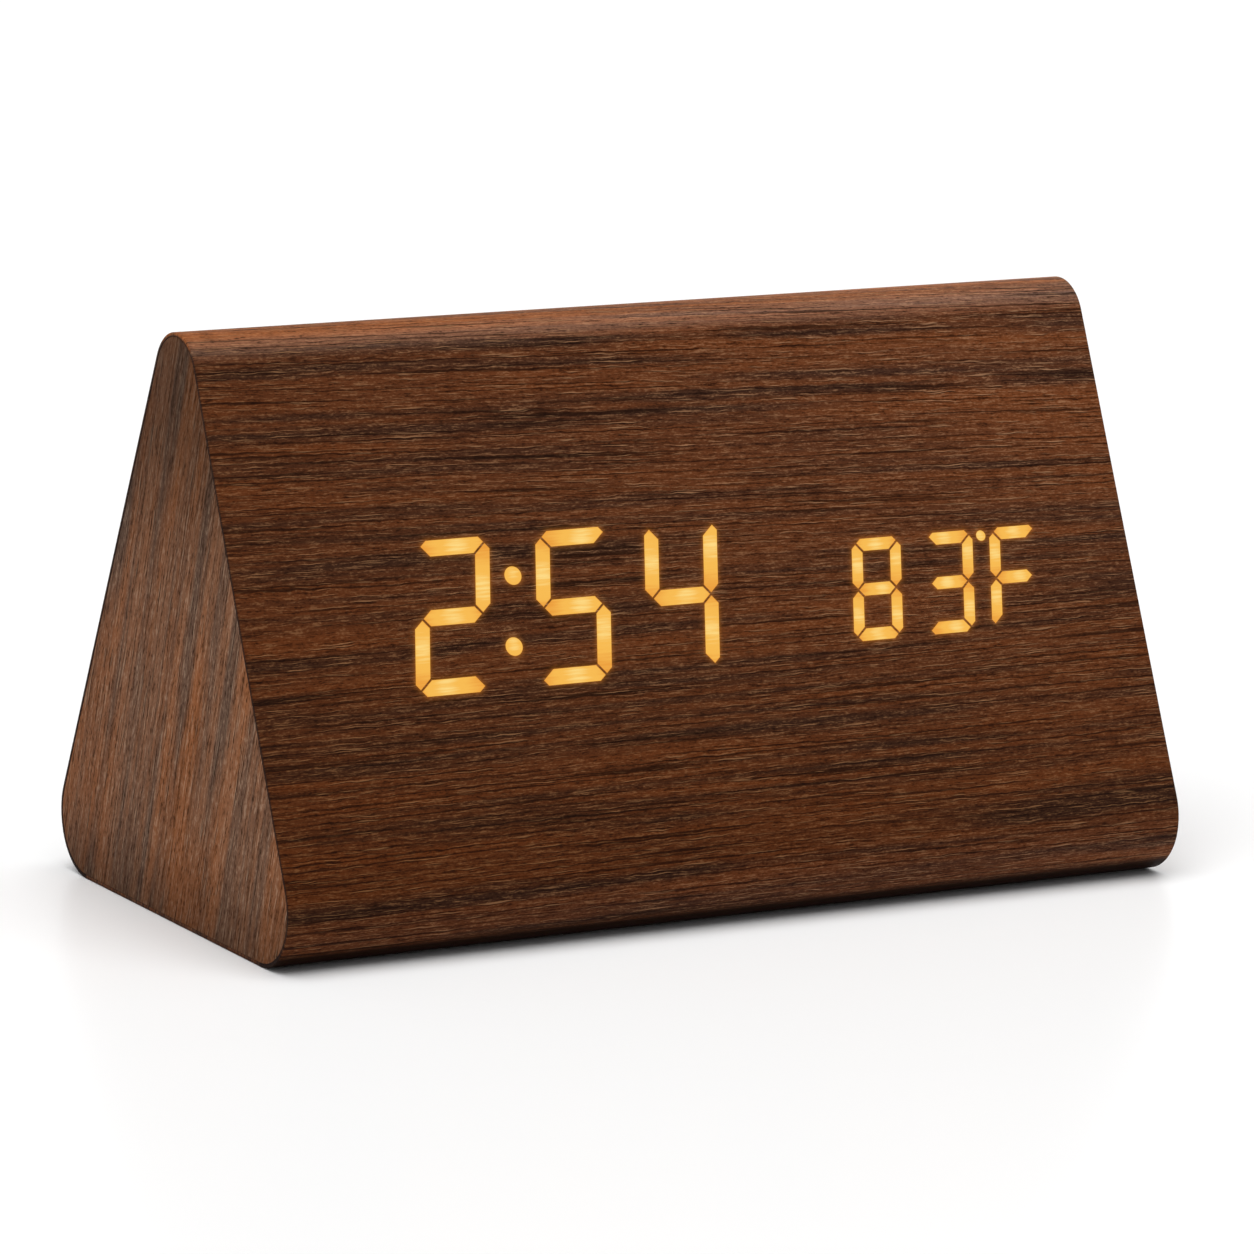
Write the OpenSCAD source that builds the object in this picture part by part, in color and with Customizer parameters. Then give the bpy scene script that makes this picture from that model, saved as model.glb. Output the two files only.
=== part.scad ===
// Three-sided wooden desk clock: mitred MDF boards under veneer, a segment display that shines
// through the front, and a moulded insert at the rear with the buttons, power socket and battery bay.
// +X runs along the ridge to the right seen from the front, the front faces -Y, and Z = 0 is the table.
// Faces are laid out in their own plane: x along the case, y up the slope from the lower edge, z outwards.

/* [Case] */
// Length of the case along its ridge
case_length = 150; // [140:1:200]
// Height of the case from the table to the ridge
case_height = 86.5; // [84:0.5:100]
// Depth of the case at its base
case_depth = 76; // [74:1:100]
// Radius of the rounded ridge
ridge_radius = 7; // [6.5:0.5:10]
// Radius of the two rounded lower edges
edge_radius = 9; // [7:0.5:11]
// Thickness of the MDF boards
board_t = 5; // [4:0.5:5.5]
// Thickness of the end cheeks between the boards
cheek_t = 3; // [2:0.5:4]
// Thickness of the veneer
veneer_t = 0.6; // [0.4:0.1:1]

/* [Time digits] */
// Hour that is shown
shown_hour = 2; // [1:1:12]
// Minute that is shown
shown_minute = 54; // [0:1:59]
// Width of a time digit over its outer edges
time_digit_w = 12.25; // [10:0.25:13]
// Height of a time digit, measured up the slope
time_digit_h = 22.7; // [18:0.1:26]
// Width of a lit stroke of the time digits
time_stroke = 2.35; // [1.6:0.05:2.8]
// Distance from one time digit to the next
time_pitch = 18.1; // [16:0.1:20]
// Extra room between the hours and the minutes for the colon
colon_room = 1.7; // [1:0.1:4]
// Distance from the left end of the case to the middle of the first digit
time_margin = 15.6; // [15:0.1:20]
// Height of the middle of the time row above the lower edge of the front face
time_row = 37.2; // [33:0.1:40]
// Diameter of a colon dot
colon_dot_d = 2.75; // [1.5:0.05:3]
// Distance between the colon dots up the slope
colon_step = 10.4; // [7:0.1:13]

/* [Temperature digits] */
// Temperature that is shown, in degrees Fahrenheit
shown_temperature = 83; // [10:1:99]
// Width of a temperature digit over its outer edges
temperature_digit_w = 8.5; // [7:0.1:10]
// Height of a temperature digit, measured up the slope
temperature_digit_h = 15.4; // [12:0.1:18]
// Width of a lit stroke of the temperature digits
temperature_stroke = 1.85; // [1.2:0.05:2.2]
// Distance between the two temperature digits
temperature_pitch = 12.65; // [11:0.05:14]
// Distance from the last temperature digit to the unit letter
unit_pitch = 11.5; // [11.3:0.1:13]
// Distance from the right end of the case to the middle of the unit letter
temperature_margin = 21.1; // [14:0.1:24]
// Height of the middle of the temperature row above the lower edge of the front face
temperature_row = 35.8; // [33:0.1:40]
// Diameter of the degree dot
degree_dot_d = 1.6; // [1:0.1:2]

/* [Segment shape] */
// Lean of the digits to the right, in degrees
digit_slant = 10.2; // [0:0.1:14]
// Gap between neighbouring segments, measured along a stroke
segment_gap = 0.24; // [0.1:0.02:0.4]
// Chamfer of a digit's outer corners, as a share of the stroke
corner_share = 0.79; // [0.4:0.01:0.95]

/* [Display module] */
// Thickness of the diffusing film behind the veneer
film_t = 0.2; // [0.1:0.05:0.4]
// Least wall of the reflector outside the outermost segments
reflector_wall = 1.2; // [0.8:0.1:1.6]
// Height of the display board above and below the reflector's window
display_rim = 5.5; // [5:0.5:7]
// Overlap of the display board at the two ends of the window
display_side = 0.9; // [0.5:0.1:1.4]
// Side of one square light-emitting diode
led_side = 1.2; // [0.6:0.1:1.4]
// Height of one light-emitting diode
led_h = 0.7; // [0.4:0.1:1]
// Width of the flat ribbon between the two boards
ribbon_w = 12.7; // [8:0.1:16]
// Thickness of the flat ribbon
ribbon_t = 0.9; // [0.5:0.1:1.2]

/* [Rear insert] */
// Thickness of the insert's face plate
panel_t = 3; // [2.8:0.1:3.4]
// Radius of the face plate's corners
panel_corner = 5; // [3:0.5:6]
// Width of the ledge in the rear board that the face plate lies on
panel_ledge = 5; // [4.5:0.5:6]
// Room between the battery bay's rim and the ends of the opening in the rear board
panel_side_room = 3.3; // [0.5:0.1:6]
// Height of the main board up the slope
main_board_h = 21.4; // [20:0.2:23]

/* [Battery bay] */
// Diameter of an AAA cell
cell_d = 10.5; // [10:0.1:10.8]
// Length of an AAA cell over its terminals
cell_l = 44.5; // [42:0.1:46]
// Length of a fitted contact spring
spring_l = 4.6; // [4:0.1:6]
// Diameter of a contact spring at its base
spring_d = 7; // [5.5:0.1:8]
// Diameter of a contact spring at its tip
spring_tip_d = 4.4; // [3:0.1:5]
// Diameter of the spring wire
spring_wire_d = 0.6; // [0.4:0.05:0.6]
// Turns of a contact spring
spring_turns = 3.5; // [2.5:0.5:3.5]
// Thickness of the contact plates
contact_t = 0.4; // [0.2:0.1:0.6]
// Wall of the moulded bay
bay_wall = 1.6; // [1.2:0.1:2]
// Width of the rim round the bay
bay_rim = 3.2; // [2.8:0.1:4]
// Thickness of the battery door
door_t = 2.8; // [2.4:0.1:2.8]
// Diameter of the door's hinge pins
hinge_pin_d = 1.5; // [1:0.1:1.6]

/* [Buttons] */
// Diameter of a button
button_d = 7; // [5:0.1:7.6]
// Height of a button above the face plate
button_proud = 1; // [0.6:0.1:1.6]
// Travel of a button
button_travel = 0.5; // [0.3:0.05:0.6]
// Distance from one button to the next
button_pitch = 16; // [13:0.5:17]

/* [Electronics] */
// Thickness of the circuit boards
pcb_t = 1.6; // [1:0.1:2]
// Side of a push switch
switch_side = 6; // [5:0.5:6.5]
// Height of a push switch above its board
switch_h = 3.4; // [3:0.1:4]
// Bore of the round power socket
socket_bore_d = 5.7; // [5:0.1:6]
// Diameter of the pin in the power socket
socket_pin_d = 2; // [1:0.1:2.4]
// Diameter of the buzzer
buzzer_d = 12; // [9:0.5:12.5]
// Height of the buzzer
buzzer_h = 5.5; // [4:0.1:6]

/* [Fits] */
// Adhesive under the veneer and round the end cheeks
glue_t = 0.02; // [0.01:0.01:0.05]
// Gap round a piece that is laid into a window or rebate
laid_gap = 0.2; // [0.1:0.05:0.3]
// Gap round a moving button or door
moving_gap = 0.3; // [0.2:0.05:0.4]
// Radial gap of a pin that turns or slides in its bore
running_gap = 0.05; // [0.02:0.01:0.1]

/* [Hidden] */
$fn = 96;

// Colours of the materials
walnut = "#4a2a1a";
walnut_end = "#5a4030";
mdf = "#a08058";
amber = "#f5b544";
black_abs = "#1c1c1e";
white_plastic = "#f2f2ee";
green_pcb = "#1f5a3a";
steel = "#b8bcc0";
nickel = "#c9c9c4";
chip_black = "#2a2a2c";
cell_green = "#3c7a46";
ribbon_grey = "#a8a8a4";
lead_red = "#a01818";
lead_black = "#141414";
sensor_brown = "#503020";
capacitor_blue = "#20304a";

// Section of the case: three arcs joined by flats, the flats a hair under the arcs so that they cross
arc_lap = 0.003;
half_length = case_length / 2;
inner_half = half_length - veneer_t;
wall_t = veneer_t + board_t;
front_corner = [-(case_depth / 2 - edge_radius), edge_radius];
top_corner = [0, case_height - ridge_radius];
slope = top_corner - front_corner;
slope_l = norm(slope);
radius_share = (edge_radius - ridge_radius) / slope_l;
square_share = sqrt(1 - radius_share * radius_share);
face_out = (slope * radius_share + [-slope.y, slope.x] * square_share) / slope_l;
face_up = [face_out.y, -face_out.x];
lean = asin(face_out.y);
face_l = slope_l * square_share;
face_low = front_corner + (edge_radius - arc_lap) * face_out;
mitre = (90 - lean) / 2;
mitre_heart = [0, edge_radius - front_corner.x * tan(mitre)];
reach = case_depth + case_height;
cut_past = 1;

// Rows of the display
digit_lean = tan(digit_slant);
hour_tens_x = -half_length + time_margin;
hour_x = hour_tens_x + time_pitch;
colon_x = hour_x + (time_pitch + colon_room) / 2;
minute_tens_x = hour_x + time_pitch + colon_room;
minute_x = minute_tens_x + time_pitch;
unit_x = half_length - temperature_margin;
temperature_x = unit_x - unit_pitch;
temperature_tens_x = temperature_x - temperature_pitch;
degree_x = (temperature_x + unit_x) / 2;
degree_rise = (temperature_digit_h - degree_dot_d) / 2 - segment_gap;
STROKES = ["a", "b", "c", "d", "e", "f", "g"];
DIGIT_STROKES = ["abcdef", "bc", "abdeg", "abcdg", "bcfg", "acdfg", "acdefg", "abc", "abcdefg", "abcdfg"];
UNIT_STROKES = "aefg";
TIME_PLACES = [hour_tens_x, hour_x, minute_tens_x, minute_x];
TEMPERATURE_PLACES = [temperature_tens_x, temperature_x, unit_x];
shown_time = [
  shown_hour < 10 ? "" : DIGIT_STROKES[floor(shown_hour / 10)],
  DIGIT_STROKES[shown_hour % 10],
  DIGIT_STROKES[floor(shown_minute / 10)],
  DIGIT_STROKES[shown_minute % 10]
];
shown_degrees = [DIGIT_STROKES[floor(shown_temperature / 10)], DIGIT_STROKES[shown_temperature % 10]];

// Display module in the window of the front board
reflector_left = hour_tens_x - time_digit_w / 2 - digit_lean * time_digit_h / 2 - reflector_wall;
reflector_right = unit_x + temperature_digit_w / 2 + digit_lean * temperature_digit_h / 2 + reflector_wall;
reflector_low = min(time_row - time_digit_h / 2, temperature_row - temperature_digit_h / 2) - reflector_wall;
reflector_high = max(time_row + time_digit_h / 2, temperature_row + temperature_digit_h / 2) + reflector_wall;
film_z = -veneer_t - glue_t;
display_board_z = -wall_t - glue_t;
display_back_z = display_board_z - pcb_t;
display_screw_d = 2;
display_screw_l = 4.5;
screw_head_h = 1.3;
screw_head_d = 4;
thread_gap = 0.05;
display_screw_inset = 6;
display_screw_xs = [reflector_left + display_screw_inset, reflector_right - display_screw_inset];
display_screw_ys = [reflector_low - display_rim / 2, reflector_high + display_rim / 2];
driver_chip_size = [15.4, 7.5, 2.3];
chip_lead_pitch = 1.27;
chip_lead_w = 0.42;
chip_lead_out = 1.4;
chip_lead_t = 0.3;
connector_h = 5;
connector_d = 5;
connector_end = 1.2;
connector_w = ribbon_w + 2 * connector_end;
chip_room = 8;
driver_chip_x = -connector_w / 2 - chip_room - driver_chip_size.x / 2;
display_connector_y = 40;
ribbon_steps = 16;

// Battery bay, from the lower end of the opening in the rear board upwards
row_gap = 0.8;
cell_gap = 0.4;
seat_gap = 0.3;
cell_touch = 0.05;
cover_gap = 0.8;
nub_l = 1.2;
nub_d = 3.8;
dimple_h = 0.6;
dimple_d = 3;
dimple_base_d = 6;
bay_l = 2 * contact_t + dimple_h + 2 * cell_l + spring_l + 3 * cell_touch;
row_pitch = cell_d + row_gap;
bay_h = 2 * cell_d + row_gap + 2 * cell_gap;
cell_z = -(panel_t + cover_gap + cell_d / 2);
bay_floor_z = cell_z - cell_d / 2 - seat_gap;
rim_t = 1.4;
opening_w = bay_l + 2 * (bay_rim + panel_side_room);
board_gap = 0.6;
opening_h = laid_gap + bay_h + 2 * bay_rim + board_gap + main_board_h + board_gap;
panel_w = opening_w + 2 * panel_ledge;
panel_h = opening_h + 2 * panel_ledge;
panel_y = face_l / 2;
opening_low = panel_y - opening_h / 2;
bay_y = opening_low + laid_gap + bay_rim + bay_h / 2;
lower_row_y = bay_y - row_pitch / 2;
upper_row_y = bay_y + row_pitch / 2;
divider_w = 1.4;
divider_h = 3;
divider_l = bay_l - 2 * (contact_t + spring_l);
panel_screw_d = 2;
panel_screw_l = 5;
panel_screw_head_d = 3.6;
panel_screw_head_h = 1.1;
panel_screw_inset = 8;
recess_l = 2.2;
recess_w = 0.5;
recess_depth = 0.7;
panel_screw_xs = [panel_screw_inset - opening_w / 2, opening_w / 2 - panel_screw_inset];
panel_screw_ys = [panel_y - (opening_h + panel_ledge) / 2, panel_y + (opening_h + panel_ledge) / 2];

// Battery door: it lies in the face plate over the bay and swings on pins at its lower edge
door_land = 2;
door_lap = bay_rim - door_land;
door_w = bay_l + 2 * door_lap;
door_low = bay_y - bay_h / 2 - door_lap;
door_high = bay_y + bay_h / 2 + door_lap;
door_axis_y = door_low + door_t / 2;
door_axis_z = -door_t / 2;
hinge_pin_grip = 1.5;
door_rib_t = 1.2;
door_ribs = 4;
door_rib_xs = [for (i = [0:door_ribs - 1]) (i - (door_ribs - 1) / 2) * door_w / door_ribs];
door_rib_z = cell_z + cell_d / 2 + seat_gap;
door_bead_r = 0.15;
notch_r = 8;
notch_depth = 1.4;
notch_rise = 4;
grip_grooves = 3;
grip_groove_w = 14;
grip_groove_h = 0.8;
grip_groove_depth = 0.4;
grip_groove_pitch = 1.8;

// Contact plates and leads
plate_side = 8.6;
tail_w = 3;
tail_out = 3;
tail_z = bay_floor_z - bay_wall - tail_out;
lead_d = 1.3;
lead_sides = 8;
spring_sides = 6;
rings_per_turn = 8;
spring_rings = ceil(spring_turns * rings_per_turn);

// Buttons, switches and main board
button_flange_out = 1.1;
button_flange_d = button_d + 2 * button_flange_out;
button_flange_t = 1;
button_rest_gap = 0.1;
button_stem_d = 3;
button_stem_l = 0.9;
button_dome_r = 14;
plunger_d = 3.4;
plunger_out = 0.8;
plunger_in = 1;
flange_z = -(panel_t + button_rest_gap + button_flange_t);
stem_z = flange_z - button_stem_l;
switch_top_z = stem_z - plunger_out;
main_board_z = switch_top_z - switch_h;
main_board_back_z = main_board_z - pcb_t;
main_board_side_gap = 4;
main_board_w = opening_w - 2 * main_board_side_gap;
main_board_y = opening_low + opening_h - board_gap - main_board_h / 2;
set_button_x = -button_pitch;
up_button_x = 0;
down_button_x = button_pitch;
boss_d = 5;
boss_inset = 3.5;
boss_xs = [-main_board_w / 2 + boss_inset, main_board_w / 2 - boss_inset];
boss_ys = [main_board_y - main_board_h / 2 + boss_inset, main_board_y + main_board_h / 2 - boss_inset];
main_screw_d = 2;
main_screw_l = 6;
socket_side = 9;
board_end_room = 14;
buzzer_x = -main_board_w / 2 + board_end_room;
socket_x = main_board_w / 2 - board_end_room;
microphone_x = (buzzer_x + buzzer_d / 2 + set_button_x - button_flange_d / 2) / 2;
sensor_x = (socket_x - socket_side / 2 + down_button_x + button_flange_d / 2) / 2;
microphone_d = 6;
microphone_h = 2.7;
microphone_hole_d = 1.5;
grille_hole_d = 1.6;
grille_ring_r = 3.4;
grille_holes = 6;
vents = 3;
vent_w = 1.2;
vent_l = 8;
vent_pitch = 2.6;
sensor_bead_d = 2.2;
sensor_lead_d = 0.5;
sensor_lead_gap = 1.1;
sensor_stand = 3.4;
sensor_bead_z = main_board_z + sensor_stand;
socket_mouth_d = 8;
socket_sink = 0.2;
socket_floor_z = main_board_z + pcb_t;
socket_pin_sink = 1;
controller_size = [17.9, 7.5, 2.3];
controller_x = -connector_w / 2 - chip_room - controller_size.x / 2;
crystal_d = 3;
crystal_l = 8.2;
crystal_x = -connector_w / 2;
capacitor_d = 5;
capacitor_h = 7;
capacitor_pitch = 8;
capacitor_xs = [for (i = [0, 1]) connector_w / 2 + chip_room + capacitor_d / 2 + i * capacitor_pitch];
main_connector_y = main_board_y - main_board_h / 2 + connector_d;

function mirrored(p) = [-p.x, p.y];
function unit_of(v) = v / norm(v);
function section_point(y, z) = face_low + y * face_up + z * face_out;

// Outline of one stroke of a seven-stroke digit that is w wide and h high, with strokes t wide.
// The outer corners are chamfered by c and each stroke ends g from the mitre line to its neighbour.
function stroke_a(w, h, t, c, g) = [
  [-w / 2 + t + g, h / 2 - t], [w / 2 - t - g, h / 2 - t], [w / 2 - (c + g) / 2, h / 2 - (c - g) / 2],
  [w / 2 - c, h / 2], [-w / 2 + c, h / 2], [-w / 2 + (c + g) / 2, h / 2 - (c - g) / 2]
];
function stroke_b(w, h, t, c, g) = [
  [w / 2 - t, t / 2 + g], [(w - t) / 2, g], [w / 2, t / 2 + g],
  [w / 2, h / 2 - c], [w / 2 - (c - g) / 2, h / 2 - (c + g) / 2], [w / 2 - t, h / 2 - t - g]
];
function stroke_g(w, h, t, c, g) = [
  [-(w - t) / 2 + g, 0], [-w / 2 + t + g, -t / 2], [w / 2 - t - g, -t / 2],
  [(w - t) / 2 - g, 0], [w / 2 - t - g, t / 2], [-w / 2 + t + g, t / 2]
];
function turned(points) = [for (p = points) -p];
function flipped(points) = [for (i = [len(points) - 1:-1:0]) [points[i].x, -points[i].y]];
function stroke(s, w, h, t, c, g) =
  s == "a" ? stroke_a(w, h, t, c, g) :
  s == "b" ? stroke_b(w, h, t, c, g) :
  s == "c" ? flipped(stroke_b(w, h, t, c, g)) :
  s == "d" ? turned(stroke_a(w, h, t, c, g)) :
  s == "e" ? turned(stroke_b(w, h, t, c, g)) :
  s == "f" ? turned(flipped(stroke_b(w, h, t, c, g))) :
  stroke_g(w, h, t, c, g);
function leaned(points, x, y) = [for (p = points) [x + p.x + p.y * digit_lean, y + p.y]];
function time_stroke_points(s, x) = leaned(
  stroke(s, time_digit_w, time_digit_h, time_stroke, corner_share * time_stroke, segment_gap), x, time_row);
function temperature_stroke_points(s, x) = leaned(
  stroke(s, temperature_digit_w, temperature_digit_h, temperature_stroke,
    corner_share * temperature_stroke, segment_gap), x, temperature_row);
function lit(pattern, s) = len(search(s, pattern)) > 0;
function middle(points) = [for (p = points) 1] * points / len(points);
colon_points = [
  for (rise = [-colon_step / 2, colon_step / 2]) [colon_x + rise * digit_lean, time_row + rise]
];
degree_point = [degree_x + degree_rise * digit_lean, temperature_row + degree_rise];

// Round wire along a path that keeps off the x direction: rings of points joined by triangles
function wire_points(path, r, sides) = [
  for (i = [0:len(path) - 1])
    let (
      along = unit_of(path[min(i + 1, len(path) - 1)] - path[max(i - 1, 0)]),
      side = unit_of(cross(along, [1, 0, 0])),
      other = cross(along, side)
    )
    for (k = [0:sides - 1]) path[i] + r * (cos(360 * k / sides) * side + sin(360 * k / sides) * other)
];
function wire_faces(rings, sides) = concat(
  [for (i = [0:rings - 2], k = [0:sides - 1])
    let (a = i * sides + k, b = i * sides + (k + 1) % sides)
    each [[a, a + sides, b], [b, a + sides, b + sides]]],
  [for (k = [1:sides - 2]) [0, k, k + 1]],
  [for (k = [1:sides - 2]) [(rings - 1) * sides, (rings - 1) * sides + k + 1, (rings - 1) * sides + k]]
);
module wire(path, d, sides) polyhedron(wire_points(path, d / 2, sides), wire_faces(len(path), sides));

// Curls of a contact spring from its base at x = 0 to its tip at the cell
spring_first = spring_wire_d / 2 + cell_touch;
spring_rise = spring_l - spring_wire_d - cell_touch;
function spring_path() = [
  for (i = [0:spring_rings])
    let (
      share = i / spring_rings,
      turn = 360 * spring_turns * share,
      r = (spring_d + (spring_tip_d - spring_d) * share - spring_wire_d) / 2
    )
    [spring_first + share * spring_rise, r * cos(turn), r * sin(turn)]
];
spring_gap = min([
  for (i = [0:spring_rings], j = [0:spring_rings])
    if (j - i > rings_per_turn / 2) norm(spring_path()[j] - spring_path()[i]) - spring_wire_d
]);
echo(least_gap_between_spring_curls = spring_gap);

// Flat outlines
module case_outline(inset) {
  low = front_corner + (edge_radius - inset - arc_lap) * face_out;
  high = top_corner + (ridge_radius - inset - arc_lap) * face_out;
  foot = [front_corner.x, inset + arc_lap];
  polygon([mirrored(foot), mirrored(low), mirrored(high), high, low, foot]);
  translate(front_corner) circle(edge_radius - inset);
  translate(mirrored(front_corner)) circle(edge_radius - inset);
  translate(top_corner) circle(ridge_radius - inset);
}
module case_ring(outer, inner) difference() {
  case_outline(outer);
  case_outline(inner);
}
module rounded_plate(w, h, r) {
  square([w - 2 * r, h], center = true);
  square([w, h - 2 * r], center = true);
  for (x = [r - w / 2, w / 2 - r], y = [r - h / 2, h / 2 - r]) translate([x, y]) circle(r);
}
module along_x(x0, x1) translate([x0, 0, 0]) rotate([90, 0, 90]) linear_extrude(x1 - x0) children();
module layer(z0, z1) translate([0, 0, z0]) linear_extrude(z1 - z0) children();
module block(x0, x1, y0, y1, z0, z1) translate([x0, y0, z0]) cube([x1 - x0, y1 - y0, z1 - z0]);
module post(x, y, z0, z1, d) translate([x, y, z0]) cylinder(d = d, h = z1 - z0);

// Planes of the front and rear faces
module on_front() translate([0, face_low.x, face_low.y]) rotate([90 - lean, 0, 0]) children();
module on_rear() rotate([0, 0, 180]) on_front() children();

// Boards of the case, mitred at the three long edges
module board_profile() intersection() {
  case_ring(veneer_t + glue_t, wall_t);
  polygon([mitre_heart, [0, reach], [-reach, reach], mitre_heart - reach * [cos(mitre), sin(mitre)]]);
}
module front_board() color(mdf) difference() {
  along_x(-inner_half, inner_half) board_profile();
  on_front() {
    block(reflector_left - laid_gap, reflector_right + laid_gap,
      reflector_low - laid_gap, reflector_high + laid_gap, -reach / 2, reach / 2);
    for (x = display_screw_xs, y = display_screw_ys)
      post(x, y, display_back_z, display_back_z + display_screw_l + seat_gap,
        display_screw_d + 2 * thread_gap);
  }
}
module panel_rebate() translate([0, panel_y]) layer(-panel_t, reach / 2)
  rounded_plate(panel_w + 2 * laid_gap, panel_h + 2 * laid_gap, panel_corner + laid_gap);
module rear_board() color(mdf) difference() {
  rotate([0, 0, 180]) along_x(-inner_half, inner_half) board_profile();
  on_rear() {
    panel_rebate();
    block(-opening_w / 2, opening_w / 2, opening_low, opening_low + opening_h, -reach / 2, reach / 2);
    for (x = panel_screw_xs, y = panel_screw_ys)
      post(x, y, -panel_screw_l - seat_gap, 0, panel_screw_d + 2 * thread_gap);
  }
}
module base_board() color(mdf) along_x(-inner_half, inner_half) intersection() {
  case_ring(veneer_t + glue_t, wall_t);
  polygon([mitre_heart, mitre_heart - reach * [cos(mitre), sin(mitre)],
    mitre_heart + reach * [cos(mitre), -sin(mitre)]]);
}
module end_cheek() along_x(inner_half - cheek_t, inner_half) case_outline(wall_t + glue_t);
module left_end_cheek() color(mdf) rotate([0, 0, 180]) end_cheek();
module right_end_cheek() color(mdf) end_cheek();

// Veneer: a sheet on each end, then one wrapped round front, ridge and rear over its edge, and one under the base
module wrap_veneer() color(walnut) difference() {
  along_x(-half_length, half_length) difference() {
    case_ring(0, veneer_t);
    translate([front_corner.x, -veneer_t]) square([-2 * front_corner.x, 3 * veneer_t]);
  }
  on_front() layer(-2 * veneer_t, veneer_t) {
    lit_time();
    lit_colon(running_gap);
    lit_temperature();
    lit_degree(running_gap);
    lit_unit();
  }
  on_rear() panel_rebate();
}
module base_veneer() color(walnut)
  block(-half_length, half_length, front_corner.x, -front_corner.x, 0, veneer_t);
module end_veneer() along_x(inner_half, half_length) case_outline(veneer_t + glue_t);
module left_end_veneer() color(walnut_end) rotate([0, 0, 180]) end_veneer();
module right_end_veneer() color(walnut_end) end_veneer();

// Lit strokes, flush with the veneer
module lit_time() for (i = [0:len(TIME_PLACES) - 1], s = STROKES)
  if (lit(shown_time[i], s)) polygon(time_stroke_points(s, TIME_PLACES[i]));
module lit_colon(room) for (p = colon_points) translate(p) circle(d = colon_dot_d + 2 * room);
module lit_temperature() for (i = [0:len(shown_degrees) - 1], s = STROKES)
  if (lit(shown_degrees[i], s)) polygon(temperature_stroke_points(s, TEMPERATURE_PLACES[i]));
module lit_degree(room) translate(degree_point) circle(d = degree_dot_d + 2 * room);
module lit_unit() for (s = STROKES) if (lit(UNIT_STROKES, s)) polygon(temperature_stroke_points(s, unit_x));
module time_digits() color(amber) on_front() layer(-veneer_t, 0) lit_time();
module time_colon() color(amber) on_front() layer(-veneer_t, 0) lit_colon(0);
module temperature_digits() color(amber) on_front() layer(-veneer_t, 0) lit_temperature();
module temperature_unit() color(amber) on_front() layer(-veneer_t, 0) {
  lit_degree(0);
  lit_unit();
}

// Display module: film, reflector with a well for every stroke, and the board with one diode in each well
module all_wells() {
  for (x = TIME_PLACES, s = STROKES) polygon(time_stroke_points(s, x));
  for (x = TEMPERATURE_PLACES, s = STROKES) polygon(temperature_stroke_points(s, x));
  lit_colon(0);
  lit_degree(0);
}
led_points = concat(
  [for (x = TIME_PLACES, s = STROKES) middle(time_stroke_points(s, x))],
  [for (x = TEMPERATURE_PLACES, s = STROKES) middle(temperature_stroke_points(s, x))],
  colon_points
);
module display_film() color(white_plastic) on_front()
  block(reflector_left, reflector_right, reflector_low, reflector_high, film_z - film_t, film_z);
module display_reflector() color(white_plastic) on_front() difference() {
  block(reflector_left, reflector_right, reflector_low, reflector_high, display_board_z, film_z - film_t);
  layer(-2 * wall_t, 0) all_wells();
}
module display_leds() color(amber) on_front() {
  for (p = led_points)
    translate([p.x - led_side / 2, p.y - led_side / 2, display_board_z]) cube([led_side, led_side, led_h]);
  post(degree_point.x, degree_point.y, display_board_z, display_board_z + led_h, led_side);
}
module display_board() color(green_pcb) on_front() difference() {
  block(reflector_left - laid_gap - display_side, reflector_right + laid_gap + display_side,
    reflector_low - display_rim, reflector_high + display_rim, display_back_z, display_board_z);
  for (x = display_screw_xs, y = display_screw_ys)
    post(x, y, -2 * wall_t, 0, display_screw_d + 2 * thread_gap);
}
module chip(size) {
  translate([-size.x / 2, -size.y / 2, chip_lead_t]) cube([size.x, size.y, size.z - chip_lead_t]);
  leads = floor(size.x / chip_lead_pitch);
  for (i = [0:leads - 1])
    translate([(i - (leads - 1) / 2) * chip_lead_pitch - chip_lead_w / 2, -size.y / 2 - chip_lead_out, 0])
      cube([chip_lead_w, size.y + 2 * chip_lead_out, chip_lead_t]);
}
module display_driver_chip() color(chip_black) on_front()
  translate([driver_chip_x, display_connector_y, display_back_z]) rotate([180, 0, 0]) chip(driver_chip_size);
module board_screw(d, l) {
  translate([0, 0, -screw_head_h]) cylinder(d = screw_head_d, h = screw_head_h);
  cylinder(d = d, h = l);
}
module display_board_screws() color(steel) on_front() for (x = display_screw_xs, y = display_screw_ys)
  translate([x, y, display_back_z]) board_screw(display_screw_d, display_screw_l);
module connector(y, z) block(-connector_w / 2, connector_w / 2,
  y - connector_d / 2, y + connector_d / 2, z - connector_h, z);
module ribbon_connectors() color(white_plastic) {
  on_front() connector(display_connector_y, display_back_z);
  on_rear() connector(main_connector_y, main_board_back_z);
}

// Ribbon: a band of constant thickness along a cubic curve that leaves both connectors squarely
ribbon_start = section_point(display_connector_y, display_back_z - connector_h);
ribbon_end = mirrored(section_point(main_connector_y, main_board_back_z - connector_h));
ribbon_pull = norm(ribbon_end - ribbon_start) / 2;
ribbon_bend = [ribbon_start - ribbon_pull * face_out, ribbon_end - ribbon_pull * mirrored(face_out)];
function ribbon_point(t) = pow(1 - t, 3) * ribbon_start + 3 * pow(1 - t, 2) * t * ribbon_bend[0]
  + 3 * (1 - t) * pow(t, 2) * ribbon_bend[1] + pow(t, 3) * ribbon_end;
function ribbon_way(t) = unit_of(pow(1 - t, 2) * (ribbon_bend[0] - ribbon_start)
  + 2 * (1 - t) * t * (ribbon_bend[1] - ribbon_bend[0]) + pow(t, 2) * (ribbon_end - ribbon_bend[1]));
function ribbon_side(t, side) = ribbon_point(t) + side * ribbon_t / 2 * [-ribbon_way(t).y, ribbon_way(t).x];
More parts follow.
